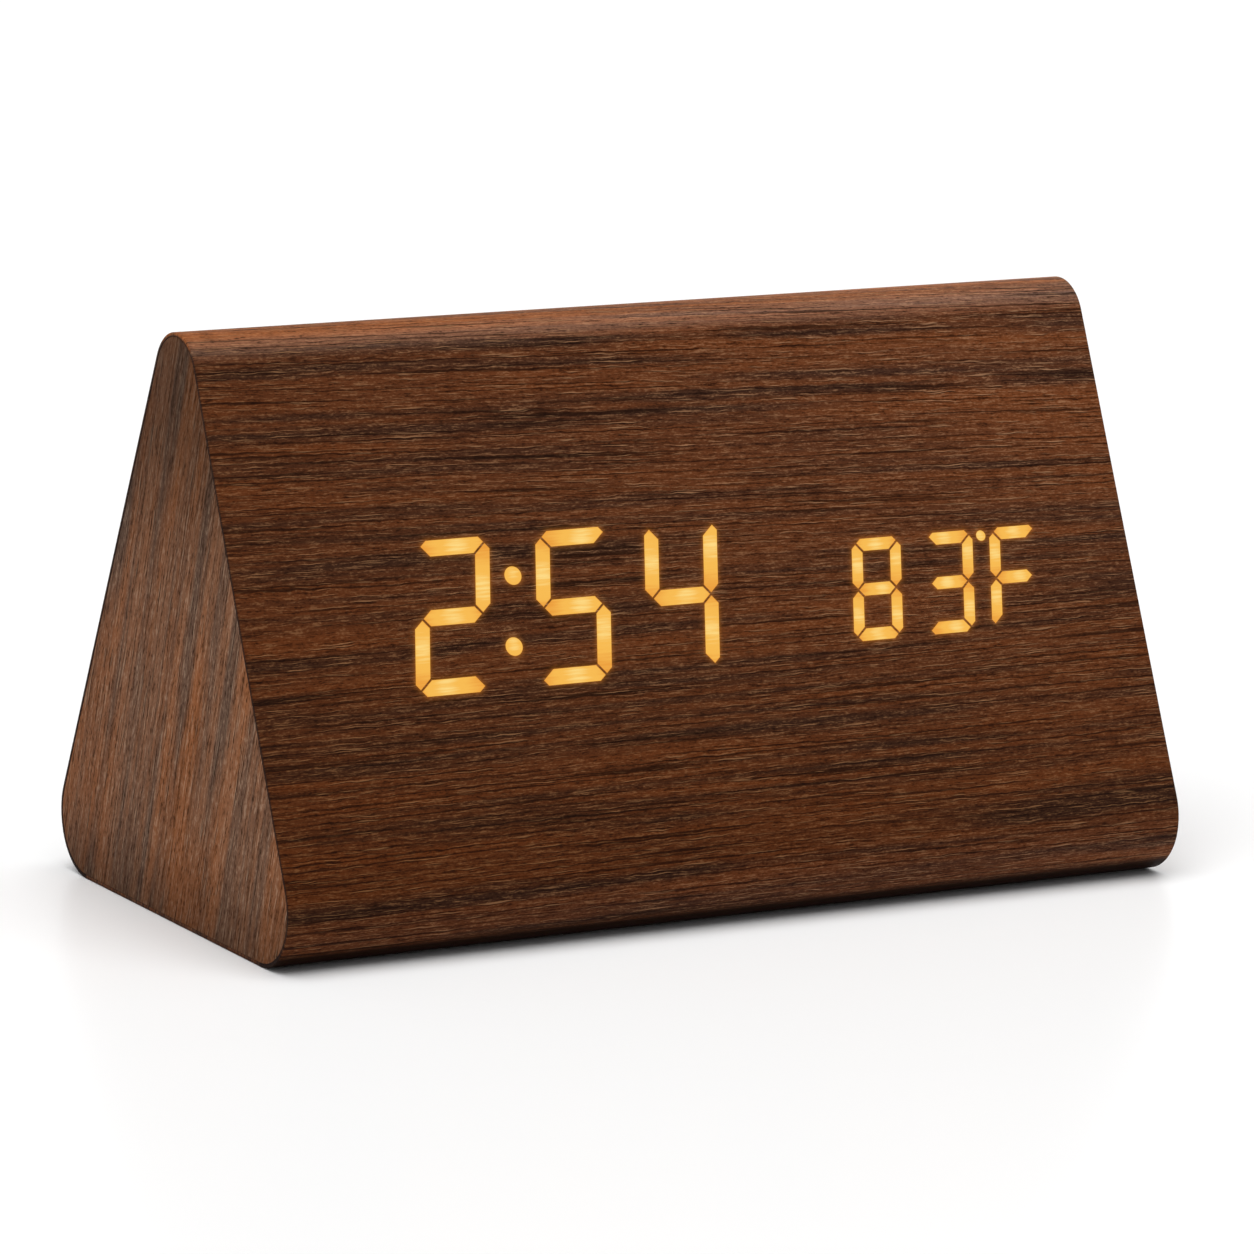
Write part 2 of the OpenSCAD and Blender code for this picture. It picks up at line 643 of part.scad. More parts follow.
module display_ribbon() color(ribbon_grey) along_x(-ribbon_w / 2, ribbon_w / 2) polygon(concat(
  [for (i = [0:ribbon_steps]) ribbon_side(i / ribbon_steps, -1)],
  [for (i = [ribbon_steps:-1:0]) ribbon_side(i / ribbon_steps, 1)]
));

// Rear insert: face plate, battery tub and bosses in one moulding
module bay_box(grow, z0, z1) block(-bay_l / 2 - grow, bay_l / 2 + grow,
  bay_y - bay_h / 2 - grow, bay_y + bay_h / 2 + grow, z0, z1);
module plate_hole(x, y, d) post(x, y, -2 * panel_t, cut_past, d);
module hinge_rod(d, l) translate([-l / 2, door_axis_y, door_axis_z]) rotate([0, 90, 0])
  cylinder(d = d, h = l);
module rear_panel() color(black_abs) on_rear() {
  difference() {
    union() {
      translate([0, panel_y]) layer(-panel_t, 0) rounded_plate(panel_w, panel_h, panel_corner);
      bay_box(bay_rim, -panel_t - rim_t, -panel_t);
      bay_box(bay_wall, bay_floor_z - bay_wall, -panel_t);
      for (x = boss_xs, y = boss_ys) post(x, y, main_board_z, -panel_t, boss_d);
    }
    bay_box(0, bay_floor_z, cut_past);
    block(-door_w / 2 - moving_gap, door_w / 2 + moving_gap,
      door_low - moving_gap, door_high + moving_gap, -panel_t, cut_past);
    hinge_rod(hinge_pin_d + 2 * running_gap, door_w + 2 * (moving_gap + hinge_pin_grip + seat_gap));
    post(0, door_high - notch_r + notch_rise, -notch_depth, cut_past, 2 * notch_r);
    for (x = [set_button_x, up_button_x, down_button_x])
      plate_hole(x, main_board_y, button_d + 2 * moving_gap);
    plate_hole(socket_x, main_board_y, socket_mouth_d + 2 * laid_gap);
    plate_hole(microphone_x, main_board_y, microphone_hole_d);
    plate_hole(buzzer_x, main_board_y, grille_hole_d);
    for (i = [0:grille_holes - 1])
      translate([buzzer_x, main_board_y]) rotate(360 * i / grille_holes)
        plate_hole(grille_ring_r, 0, grille_hole_d);
    for (i = [0:vents - 1])
      translate([sensor_x + (i - (vents - 1) / 2) * vent_pitch, main_board_y])
        block(-vent_w / 2, vent_w / 2, -vent_l / 2, vent_l / 2, -2 * panel_t, cut_past);
    for (x = boss_xs, y = boss_ys)
      post(x, y, main_board_z - cut_past, main_board_back_z + main_screw_l + seat_gap,
        main_screw_d + 2 * thread_gap);
    for (x = panel_screw_xs, y = panel_screw_ys) translate([x, y]) panel_screw_shape(thread_gap);
    for (x = [-bay_l / 2, bay_l / 2 - contact_t], y = [lower_row_y, upper_row_y])
      block(x, x + contact_t, y - tail_w / 2 - laid_gap, y + tail_w / 2 + laid_gap, tail_z, 0);
  }
  block(-divider_l / 2, divider_l / 2, bay_y - divider_w / 2, bay_y + divider_w / 2,
    bay_floor_z, bay_floor_z + divider_h);
}
module panel_screw_shape(room) {
  post(0, 0, -panel_screw_l - room, -panel_screw_head_h / 2, panel_screw_d + 2 * room);
  translate([0, 0, -panel_screw_head_h - room])
    cylinder(d1 = panel_screw_d + 2 * room, d2 = panel_screw_head_d + 2 * room,
      h = panel_screw_head_h + room);
}
module cross_recess() for (turn = [0, 90]) rotate(turn)
  block(-recess_l / 2, recess_l / 2, -recess_w / 2, recess_w / 2, -recess_depth, cut_past);
module rear_panel_screws() color(steel) on_rear()
  for (x = panel_screw_xs, y = panel_screw_ys) translate([x, y]) difference() {
    panel_screw_shape(0);
    cross_recess();
  }

// Battery door with rolled hinge edge, pins, ribs over the cells, friction bead and finger grooves
module battery_door() color(black_abs) on_rear() difference() {
  union() {
    along_x(-door_w / 2, door_w / 2) {
      translate([door_axis_y, door_axis_z]) circle(d = door_t);
      translate([door_axis_y, -door_t]) square([door_high - door_axis_y, door_t]);
    }
    hinge_rod(hinge_pin_d, door_w + 2 * (moving_gap + hinge_pin_grip));
    for (x = door_rib_xs) block(x - door_rib_t / 2, x + door_rib_t / 2,
      bay_y - bay_h / 2 + door_lap, bay_y + bay_h / 2 - door_lap, door_rib_z, -door_t);
    translate([-notch_r, door_high, door_axis_z]) rotate([0, 90, 0])
      cylinder(r = door_bead_r, h = 2 * notch_r);
  }
  for (i = [1:grip_grooves]) translate([0, door_high - i * grip_groove_pitch])
    block(-grip_groove_w / 2, grip_groove_w / 2, -grip_groove_h, 0, -grip_groove_depth, cut_past);
}

// Four AAA cells in two rows: the upper row points left seen from behind, the lower row right
module cell() rotate([0, 90, 0]) {
  cylinder(d = cell_d, h = cell_l - nub_l);
  cylinder(d = nub_d, h = cell_l);
}
module upper_row() translate([bay_l / 2 - contact_t, upper_row_y, cell_z]) rotate([0, 0, 180]) children();
module lower_row() translate([-bay_l / 2 + contact_t, lower_row_y, cell_z]) children();
module cell_row() for (i = [0, 1])
  translate([spring_l + cell_touch + i * (cell_l + cell_touch), 0, 0]) cell();
module aaa_cells() color(cell_green) on_rear() {
  upper_row() cell_row();
  lower_row() cell_row();
}
module battery_springs() color(steel) on_rear() {
  upper_row() wire(spring_path(), spring_wire_d, spring_sides);
  lower_row() wire(spring_path(), spring_wire_d, spring_sides);
}
module contact_plate(y0, y1, tails) {
  block(0, contact_t, y0 - plate_side / 2, y1 + plate_side / 2,
    cell_z - plate_side / 2, cell_z + plate_side / 2);
  for (y = tails) block(0, contact_t, y - tail_w / 2, y + tail_w / 2, tail_z, cell_z);
}
module contact_dimple(y) translate([contact_t, y, cell_z]) rotate([0, 90, 0])
  cylinder(d1 = dimple_base_d, d2 = dimple_d, h = dimple_h);
module battery_positive_plate() color(nickel) on_rear() translate([-bay_l / 2, 0, 0]) {
  contact_plate(upper_row_y, upper_row_y, [upper_row_y]);
  contact_dimple(upper_row_y);
}
module battery_negative_plate() color(nickel) on_rear() translate([-bay_l / 2, 0, 0])
  contact_plate(lower_row_y, lower_row_y, [lower_row_y]);
module battery_bridge_plate() color(nickel) on_rear() translate([bay_l / 2, 0, 0]) mirror([1, 0, 0]) {
  contact_plate(lower_row_y, upper_row_y, []);
  contact_dimple(lower_row_y);
}

// Leads from the tails of the end plates up to the back of the main board
lead_x = -bay_l / 2 + contact_t + lead_d / 2 + cell_touch;
lead_top_y = main_board_y - main_board_h / 2 + lead_d;
lead_back_z = tail_z - lead_d;
lead_clear = 2;
positive_pad_x = boss_xs[0] + boss_d + lead_d;
negative_pad_x = positive_pad_x + 2 * lead_d;
module battery_lead(y, pad_x) wire([
  [lead_x, y, tail_z + lead_d],
  [lead_x, y + lead_clear, lead_back_z],
  [pad_x, lead_top_y - 2 * lead_clear, lead_back_z],
  [pad_x, lead_top_y, main_board_back_z - 2 * lead_clear],
  [pad_x, lead_top_y, main_board_back_z]
], lead_d, lead_sides);
module battery_positive_lead() color(lead_red) on_rear() battery_lead(upper_row_y, positive_pad_x);
module battery_negative_lead() color(lead_black) on_rear() battery_lead(lower_row_y, negative_pad_x);

// Main board and what stands on it
module main_board() color(green_pcb) on_rear() difference() {
  block(-main_board_w / 2, main_board_w / 2, main_board_y - main_board_h / 2, main_board_y + main_board_h / 2,
    main_board_back_z, main_board_z);
  for (x = boss_xs, y = boss_ys)
    post(x, y, main_board_back_z - cut_past, main_board_z + cut_past, main_screw_d + 2 * thread_gap);
}
module main_board_screws() color(steel) on_rear() for (x = boss_xs, y = boss_ys)
  translate([x, y, main_board_back_z]) board_screw(main_screw_d, main_screw_l);
module button(x) on_rear() translate([x, main_board_y]) {
  intersection() {
    post(0, 0, flange_z, button_proud, button_d);
    translate([0, 0, button_proud - button_dome_r]) sphere(button_dome_r);
  }
  post(0, 0, flange_z, flange_z + button_flange_t, button_flange_d);
  post(0, 0, stem_z, flange_z, button_stem_d);
}
module set_button() color(black_abs) button(set_button_x);
module up_button() color(black_abs) button(up_button_x);
module down_button() color(black_abs) button(down_button_x);
module switch_plunger(x) on_rear() post(x, main_board_y, switch_top_z - plunger_in, stem_z, plunger_d);
module set_switch_plunger() color(white_plastic) switch_plunger(set_button_x);
module up_switch_plunger() color(white_plastic) switch_plunger(up_button_x);
module down_switch_plunger() color(white_plastic) switch_plunger(down_button_x);
module push_switch() difference() {
  block(-switch_side / 2, switch_side / 2, -switch_side / 2, switch_side / 2, main_board_z, switch_top_z);
  post(0, 0, switch_top_z - plunger_in - button_travel - seat_gap, 0, plunger_d + 2 * running_gap);
}
module push_switches() color(chip_black) on_rear()
  for (x = [set_button_x, up_button_x, down_button_x]) translate([x, main_board_y]) push_switch();
module power_socket() color(chip_black) on_rear() translate([socket_x, main_board_y]) difference() {
  union() {
    post(0, 0, -panel_t - socket_sink, -socket_sink, socket_mouth_d);
    block(-socket_side / 2, socket_side / 2, -socket_side / 2, socket_side / 2,
      main_board_z, -panel_t - socket_sink);
  }
  post(0, 0, socket_floor_z, cut_past, socket_bore_d);
}
module power_socket_pin() color(nickel) on_rear()
  post(socket_x, main_board_y, socket_floor_z, -socket_sink - socket_pin_sink, socket_pin_d);
module buzzer() color(chip_black) on_rear() difference() {
  post(buzzer_x, main_board_y, main_board_z, main_board_z + buzzer_h, buzzer_d);
  post(buzzer_x, main_board_y, main_board_z + buzzer_h / 2, 0, grille_hole_d);
}
module microphone() color(nickel) on_rear()
  post(microphone_x, main_board_y, main_board_z, main_board_z + microphone_h, microphone_d);
module temperature_sensor() color(sensor_brown) on_rear() {
  translate([sensor_x, main_board_y, sensor_bead_z]) sphere(d = sensor_bead_d);
  for (side = [-1, 1])
    post(sensor_x + side * sensor_lead_gap / 2, main_board_y, main_board_z, sensor_bead_z, sensor_lead_d);
}
module controller_chip() color(chip_black) on_rear()
  translate([controller_x, main_board_y, main_board_back_z]) rotate([180, 0, 0]) chip(controller_size);
module clock_crystal() color(nickel) on_rear()
  post(crystal_x, main_board_y + boss_inset, main_board_back_z - crystal_l, main_board_back_z, crystal_d);
module capacitors() color(capacitor_blue) on_rear() for (x = capacitor_xs)
  post(x, main_board_y, main_board_back_z - capacitor_h, main_board_back_z, capacitor_d);

front_board();
rear_board();
base_board();
left_end_cheek();
right_end_cheek();
wrap_veneer();
base_veneer();
left_end_veneer();
right_end_veneer();
time_digits();
time_colon();
temperature_digits();
temperature_unit();
display_film();
display_reflector();
display_leds();
display_board();
display_driver_chip();
display_board_screws();
ribbon_connectors();
display_ribbon();
rear_panel();
rear_panel_screws();
battery_door();
aaa_cells();
battery_springs();
battery_positive_plate();
battery_negative_plate();
battery_bridge_plate();
battery_positive_lead();
battery_negative_lead();
main_board();
main_board_screws();
set_button();
up_button();
down_button();
push_switches();
set_switch_plunger();
up_switch_plunger();
down_switch_plunger();
power_socket();
power_socket_pin();
buzzer();
microphone();
temperature_sensor();
controller_chip();
clock_crystal();
capacitors();
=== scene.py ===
# Wooden desk clock: a hollow three-sided body of fibreboard under dark walnut veneer, with amber digits that
# shine through the front and a black moulded insert at the rear with buttons, power socket and battery bay.
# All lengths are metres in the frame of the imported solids: +X runs along the ridge, and the front faces -Y.
import math

import bmesh
import bpy
import numpy as np
from mathutils import Matrix, Vector
from mathutils.geometry import delaunay_2d_cdt


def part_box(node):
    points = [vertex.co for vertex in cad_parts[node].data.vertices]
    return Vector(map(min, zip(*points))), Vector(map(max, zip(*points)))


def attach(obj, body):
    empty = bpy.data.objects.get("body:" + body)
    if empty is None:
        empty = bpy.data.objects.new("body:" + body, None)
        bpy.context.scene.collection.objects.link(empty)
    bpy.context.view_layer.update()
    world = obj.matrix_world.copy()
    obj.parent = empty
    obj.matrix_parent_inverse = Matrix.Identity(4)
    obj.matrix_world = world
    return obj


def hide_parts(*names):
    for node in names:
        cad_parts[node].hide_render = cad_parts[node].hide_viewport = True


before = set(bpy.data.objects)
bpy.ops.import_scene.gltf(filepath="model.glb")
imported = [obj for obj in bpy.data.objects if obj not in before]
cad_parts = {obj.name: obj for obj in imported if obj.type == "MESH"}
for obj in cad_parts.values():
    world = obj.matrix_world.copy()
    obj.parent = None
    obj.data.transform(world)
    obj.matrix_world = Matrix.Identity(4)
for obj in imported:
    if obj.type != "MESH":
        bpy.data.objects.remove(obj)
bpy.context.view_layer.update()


# Boards and end cheeks: medium-density fibreboard, sawn with mitred long edges and glued into a hollow body.
# They stay raw under the veneer, so pressed fibres show as pale and dark specks.
MM = 0.001
# Noise keeps mostly between these two values, and a finish's roughness spreads this far to both sides.
noise_low = 0.3
noise_high = 0.7
roughness_spread = 0.05


def linear(code):
    """An sRGB hex colour as linear RGBA: c / 12.92 up to 0.04045, and ((c + 0.055) / 1.055) ^ 2.4 above."""
    srgb = np.array([int(code[i:i + 2], 16) for i in (1, 3, 5)]) / 255
    return (*np.where(srgb <= 0.04045, srgb / 12.92, ((srgb + 0.055) / 1.055) ** 2.4), 1.0)


def new_material(name):
    """A material with an empty node tree."""
    material = bpy.data.materials.new(name)
    material.use_nodes = True
    material.node_tree.nodes.clear()
    return material


def add(material, kind, inputs=None, **settings):
    """Adds a node: settings are its own properties, and each input is a value or the output that feeds it."""
    node = material.node_tree.nodes.new(kind)
    for name, value in settings.items():
        setattr(node, name, value)
    for name, value in (inputs or {}).items():
        if isinstance(value, bpy.types.NodeSocket):
            material.node_tree.links.new(value, node.inputs[name])
        else:
            node.inputs[name].default_value = value
    return node


def surface(material, inputs):
    """Closes a material with one Principled shader that has these inputs."""
    shader = add(material, "ShaderNodeBsdfPrincipled", inputs)
    add(material, "ShaderNodeOutputMaterial", {"Surface": shader.outputs["BSDF"]})


def grained(name, dark, light, grain, roughness, relief, stretch=(1, 1, 1), **sockets):
    """A finish with a fine pattern: noise with cells of one grain, in metres, times the stretch of each axis.
    It goes from the dark to the light colour, varies the roughness a little and lifts the face by relief."""
    finish = new_material(name)
    place = add(finish, "ShaderNodeTexCoord")
    drawn = add(finish, "ShaderNodeMapping",
                {"Vector": place.outputs["Object"], "Scale": tuple(1 / (grain * s) for s in stretch)})
    noise = add(finish, "ShaderNodeTexNoise", {"Vector": drawn.outputs[0], "Scale": 1.0, "Detail": 3.0})
    even = add(finish, "ShaderNodeMapRange",
               {"Value": noise.outputs["Fac"], "From Min": noise_low, "From Max": noise_high})
    colour = add(finish, "ShaderNodeMix",
                 {0: even.outputs[0], 6: linear(dark), 7: linear(light)}, data_type="RGBA").outputs[2]
    matt = add(finish, "ShaderNodeMapRange",
               {"Value": even.outputs[0], "To Min": roughness - roughness_spread,
                "To Max": roughness + roughness_spread})
    bump = add(finish, "ShaderNodeBump", {"Height": even.outputs[0], "Distance": relief})
    surface(finish, {"Base Color": colour, "Roughness": matt.outputs[0], "Normal": bump.outputs[0],
                     **sockets})
    return finish


def dress(material, *nodes):
    """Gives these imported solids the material, in their own slot."""
    for node in nodes:
        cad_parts[node].material_slots[0].material = material


# Raw fibreboard is matt and tan, with specks of about 0.4 mm.
mdf = grained("raw_fibreboard", "#8f7350", "#b2946a", 0.4 * MM, 0.9, 0.01 * MM)
dress(mdf, "front_board", "rear_board", "base_board", "left_end_cheek", "right_end_cheek")


# Display module behind the front: one diode in each well of a white reflector, a diffusing film before it and
# a green circuit board behind it, held by four screws, with a driver chip, a connector and a flat ribbon.
# White polystyrene is moulded smooth, with a soft gloss.
white_polystyrene = grained("white_polystyrene", "#e9e8e2", "#f4f4f0", 0.5 * MM, 0.4, 0.003 * MM)
dress(white_polystyrene, "display_film", "display_reflector", "ribbon_connectors",
      "set_switch_plunger", "up_switch_plunger", "down_switch_plunger")
# Cast epoxy of the diodes is clear amber and glossy.
amber_epoxy = grained("amber_epoxy", "#d98a1e", "#f0ae45", 0.3 * MM, 0.2, 0.002 * MM)
dress(amber_epoxy, "display_leds")
# Solder mask over glass-fibre laminate is green and glossy, with copper runs of about 0.8 mm under it.
solder_mask = grained("green_solder_mask", "#14452b", "#1f6a41", 0.8 * MM, 0.35, 0.02 * MM, (6, 1, 1))
dress(solder_mask, "display_board", "main_board")
# Moulded chip epoxy is charcoal and slightly rough, with a grit of about 0.15 mm.
chip_epoxy = grained("chip_epoxy", "#1b1b1d", "#29292b", 0.15 * MM, 0.55, 0.006 * MM)
dress(chip_epoxy, "display_driver_chip", "controller_chip", "push_switches", "buzzer", "temperature_sensor")
# Zinc plating is bright bluish steel with cloudy patches of about 0.7 mm.
zinc_steel = grained("zinc_plated_steel", "#9ba3ab", "#c3c9cf", 0.7 * MM, 0.32, 0.002 * MM, Metallic=1.0)
dress(zinc_steel, "display_board_screws", "main_board_screws", "rear_panel_screws", "microphone",
      "clock_crystal")


# Wrapped veneer: one sheet of dark walnut, glued round the front, over the ridge and down the rear, with its
# grain along the clock. It laps the edges of the end sheets, and its own cut edges there are eased by hand.
# It is satin smooth, with a painted sheen and highlight along the ridge and painted shade towards its foot,
# its left and underneath, and open pores leave short dark and pale dashes in it.
case_depth = 76 * MM
case_height = 86.5 * MM
edge_radius = 9 * MM
ridge_radius = 7 * MM
veneer_thickness = 0.6 * MM
stroke_stand = 0.02 * MM  # the lit strokes stand this far above the wood, too little to see
edge_ease = 0.15 * MM
half_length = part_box("wrap_veneer")[1].x
edge_middle = np.array([edge_radius - case_depth / 2, edge_radius])
ridge_middle = np.array([0.0, case_height - ridge_radius])
slope = ridge_middle - edge_middle
slope_length = np.hypot(*slope)
taper = (edge_radius - ridge_radius) / slope_length
face_out = (slope * taper + np.array([-slope[1], slope[0]]) * math.sqrt(1 - taper ** 2)) / slope_length
face_up = np.array([face_out[1], -face_out[0]])
face_low = edge_middle + edge_radius * face_out
face_length = slope_length * math.sqrt(1 - taper ** 2)
lean = math.asin(face_out[1])
arcs = [
    (edge_middle, edge_radius, 1.5 * math.pi, math.pi - lean),
    (ridge_middle, ridge_radius, math.pi - lean, lean),
    (edge_middle * (-1, 1), edge_radius, lean, -0.5 * math.pi),
]
front_side = np.array([1, 1, 1])
rear_side = np.array([-1, -1, 1])  # turns the front's places to the rear's
arc_steps = 32
flat_rungs = 12
flat_steps = np.linspace(0, 1, flat_rungs + 2)[1:-1]
weld_distance = 0.001 * MM
weld_digits = 7
sharp_angle = math.radians(40)


def on_front(x, up, out):
    """Points by the front's own axes: x along the case, up the slope from its foot, and out of the wood."""
    x, up, out = np.broadcast_arrays(x, up, out)
    return np.stack([x, *(face_low[i] + up * face_up[i] + out * face_out[i] for i in (0, 1))], -1)


def vertices(node):
    """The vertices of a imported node."""
    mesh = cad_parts[node].data
    at = np.empty(len(mesh.vertices) * 3)
    mesh.vertices.foreach_get("co", at)
    return at.reshape(-1, 3)


def outlines(node):
    """Outlines of a node's flat solids in the plane of the front face. Vertices are welded, the least index
    spreads along the edges until each solid has one, and each rim is put in order round its middle."""
    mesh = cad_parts[node].data
    ends = np.empty(len(mesh.edges) * 2, int)
    mesh.edges.foreach_get("vertices", ends)
    at, weld = np.unique(vertices(node).round(weld_digits), axis=0, return_inverse=True)
    ends = weld.ravel()[ends.reshape(-1, 2)]
    solid = np.arange(len(at))
    for _ in range(len(at)):
        least = np.minimum(solid[ends[:, 0]], solid[ends[:, 1]])
        np.minimum.at(solid, ends[:, 0], least)
        np.minimum.at(solid, ends[:, 1], least)
        if (solid[ends[:, 0]] == solid[ends[:, 1]]).all():
            break
    away = at[:, 1:] - face_low
    flat = np.stack([at[:, 0], away @ face_up], -1)
    rim = np.abs(away @ face_out) < veneer_thickness / 2
    loops = []
    for one in np.unique(solid):
        loop = flat[rim & (solid == one)]
        arm = loop - loop.mean(0)
        loops.append(loop[np.argsort(np.arctan2(arm[:, 1], arm[:, 0]))])
    return loops


def inside(points, loop):
    """True for points in a closed outline: a line to their right crosses it an odd number of times."""
    x, y = points[:, :1], points[:, 1:]
    x0, y0 = loop.T
    x1, y1 = np.roll(loop, -1, axis=0).T
    with np.errstate(divide="ignore", invalid="ignore"):
        crossing = ((y0 > y) != (y1 > y)) & (x < x0 + (y - y0) * (x1 - x0) / (y1 - y0))
    return crossing.sum(1) % 2 == 1


def gap_to(points, loops):
    """Distance from each point to the nearest edge of any outline."""
    foot = np.concatenate(loops)
    edge = np.concatenate([np.roll(loop, -1, axis=0) - loop for loop in loops])
    arm = points[:, None] - foot
    along = ((arm * edge).sum(2) / (edge ** 2).sum(1)).clip(0, 1)
    return np.linalg.norm(arm - along[:, :, None] * edge, axis=2).min(1)


def pierced(half_width, height, openings, spots):
    """A flat rectangle with openings as points and triangles: a Delaunay mesh of its sides, the outlines and
    the spots that keeps every outline as edges, less the triangles whose middle lies in an opening."""
    rise = height * np.concatenate([[0], flat_steps, [1]])
    right = np.stack([0 * rise + half_width, rise], -1)
    loops = [np.concatenate([right, right[::-1] * (-1, 1)]), *openings]
    starts = np.cumsum([0] + [len(loop) for loop in loops])
    edges = [(int(start + i), int(start + (i + 1) % len(loop)))
             for start, loop in zip(starts, loops) for i in range(len(loop))]
    given = np.concatenate([*loops, spots])
    whole_hull, tolerance = 0, 1e-6
    _, _, faces, origins, *_ = delaunay_2d_cdt(
        [Vector(point) for point in given / MM], edges, [], whole_hull, tolerance)
    points, faces = given[[origin[0] for origin in origins]], np.array(faces)
    middles = points[faces].mean(1)
    return points, faces[~np.any([inside(middles, loop) for loop in openings], axis=0)]


def rounded_rectangle(middle, half, radius, steps=12):
    """Outline of a rectangle with round corners: four quarter turns about the corners' middles."""
    turn = np.linspace(0, math.pi / 2, steps)
    quarter = radius * np.stack([np.cos(turn), np.sin(turn)], -1)
    x, y = quarter.T
    sides = half - radius
    return middle + np.concatenate([
        np.stack([x, y], -1) + sides, np.stack([-y, x], -1) + sides * (-1, 1),
        np.stack([-x, -y], -1) - sides, np.stack([y, -x], -1) + sides * (1, -1)])


def new_piece(name, points, faces, material, slot, body, *nodes, **traits):
    """Makes a piece: its points are welded, its faces turned outwards, edges over the sharp angle left sharp,
    and its point attributes kept. It has the material's finish and rides on the body in place of the nodes.
    The slot is not used."""
    mesh = bpy.data.meshes.new(name)
    mesh.from_pydata(points, [], faces)
    for trait, values in traits.items():
        kind, field = ("FLOAT", "value") if np.ndim(values) == 1 else ("FLOAT_VECTOR", "vector")
        mesh.attributes.new(trait, kind, "POINT").data.foreach_set(field, np.ravel(values).astype(np.float32))
    shell = bmesh.new()
    shell.from_mesh(mesh)
    bmesh.ops.remove_doubles(shell, verts=shell.verts, dist=weld_distance)
    bmesh.ops.recalc_face_normals(shell, faces=shell.faces)
    shell.to_mesh(mesh)
    shell.free()
    mesh.shade_smooth()
    mesh.set_sharp_from_angle(angle=sharp_angle)
    mesh.materials.append(material)
    piece = bpy.data.objects.new(name, mesh)
    bpy.context.scene.collection.objects.link(piece)
    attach(piece, body)
    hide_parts(*nodes)


def fibres(material, laid, length, width, seed, detail=2.0, shift=0.0):
    """Noise drawn out along the grain: its cells are about this long and wide, in metres, and it is moved
    down by a share of a cell. The seed takes it from a part of the noise of its own."""
    start = seed, 2.3 * seed + shift, 0
    drawn = add(material, "ShaderNodeMapping",
                {"Vector": laid, "Location": start, "Scale": (1 / length, 1 / width, 1)})
    return add(material, "ShaderNodeTexNoise",
               {"Vector": drawn.outputs[0], "Scale": 1.0, "Detail": detail, "Roughness": 0.55}).outputs["Fac"]


def layer(material, grain, length, width, seed, low, high, top=1.0, detail=2.0, shift=0.0):
    """One layer of fibres as a share: 0 where their noise is up to low, with a soft rise to top at high."""
    noise = fibres(material, grain, length, width, seed, detail, shift)
    return add(material, "ShaderNodeMapRange",
               {"Value": noise, "From Min": low, "From Max": high, "To Max": top},
               interpolation_type="SMOOTHSTEP").outputs[0]


# The grain's slow sway, and the heights up the sheet between which it fans out.
sway_size = 2 * MM
fan_from = 40 * MM
fan_to = 75 * MM
# Painted light and shade of the sheet: a sheen on the ridge's flanks, a highlight along its crest, and a brown
# that darkens it towards its foot and its left.
painted_ridge_sheen = "#584a42"
painted_crest_highlight = "#783e00"
painted_shade_brown = "#bfb198"


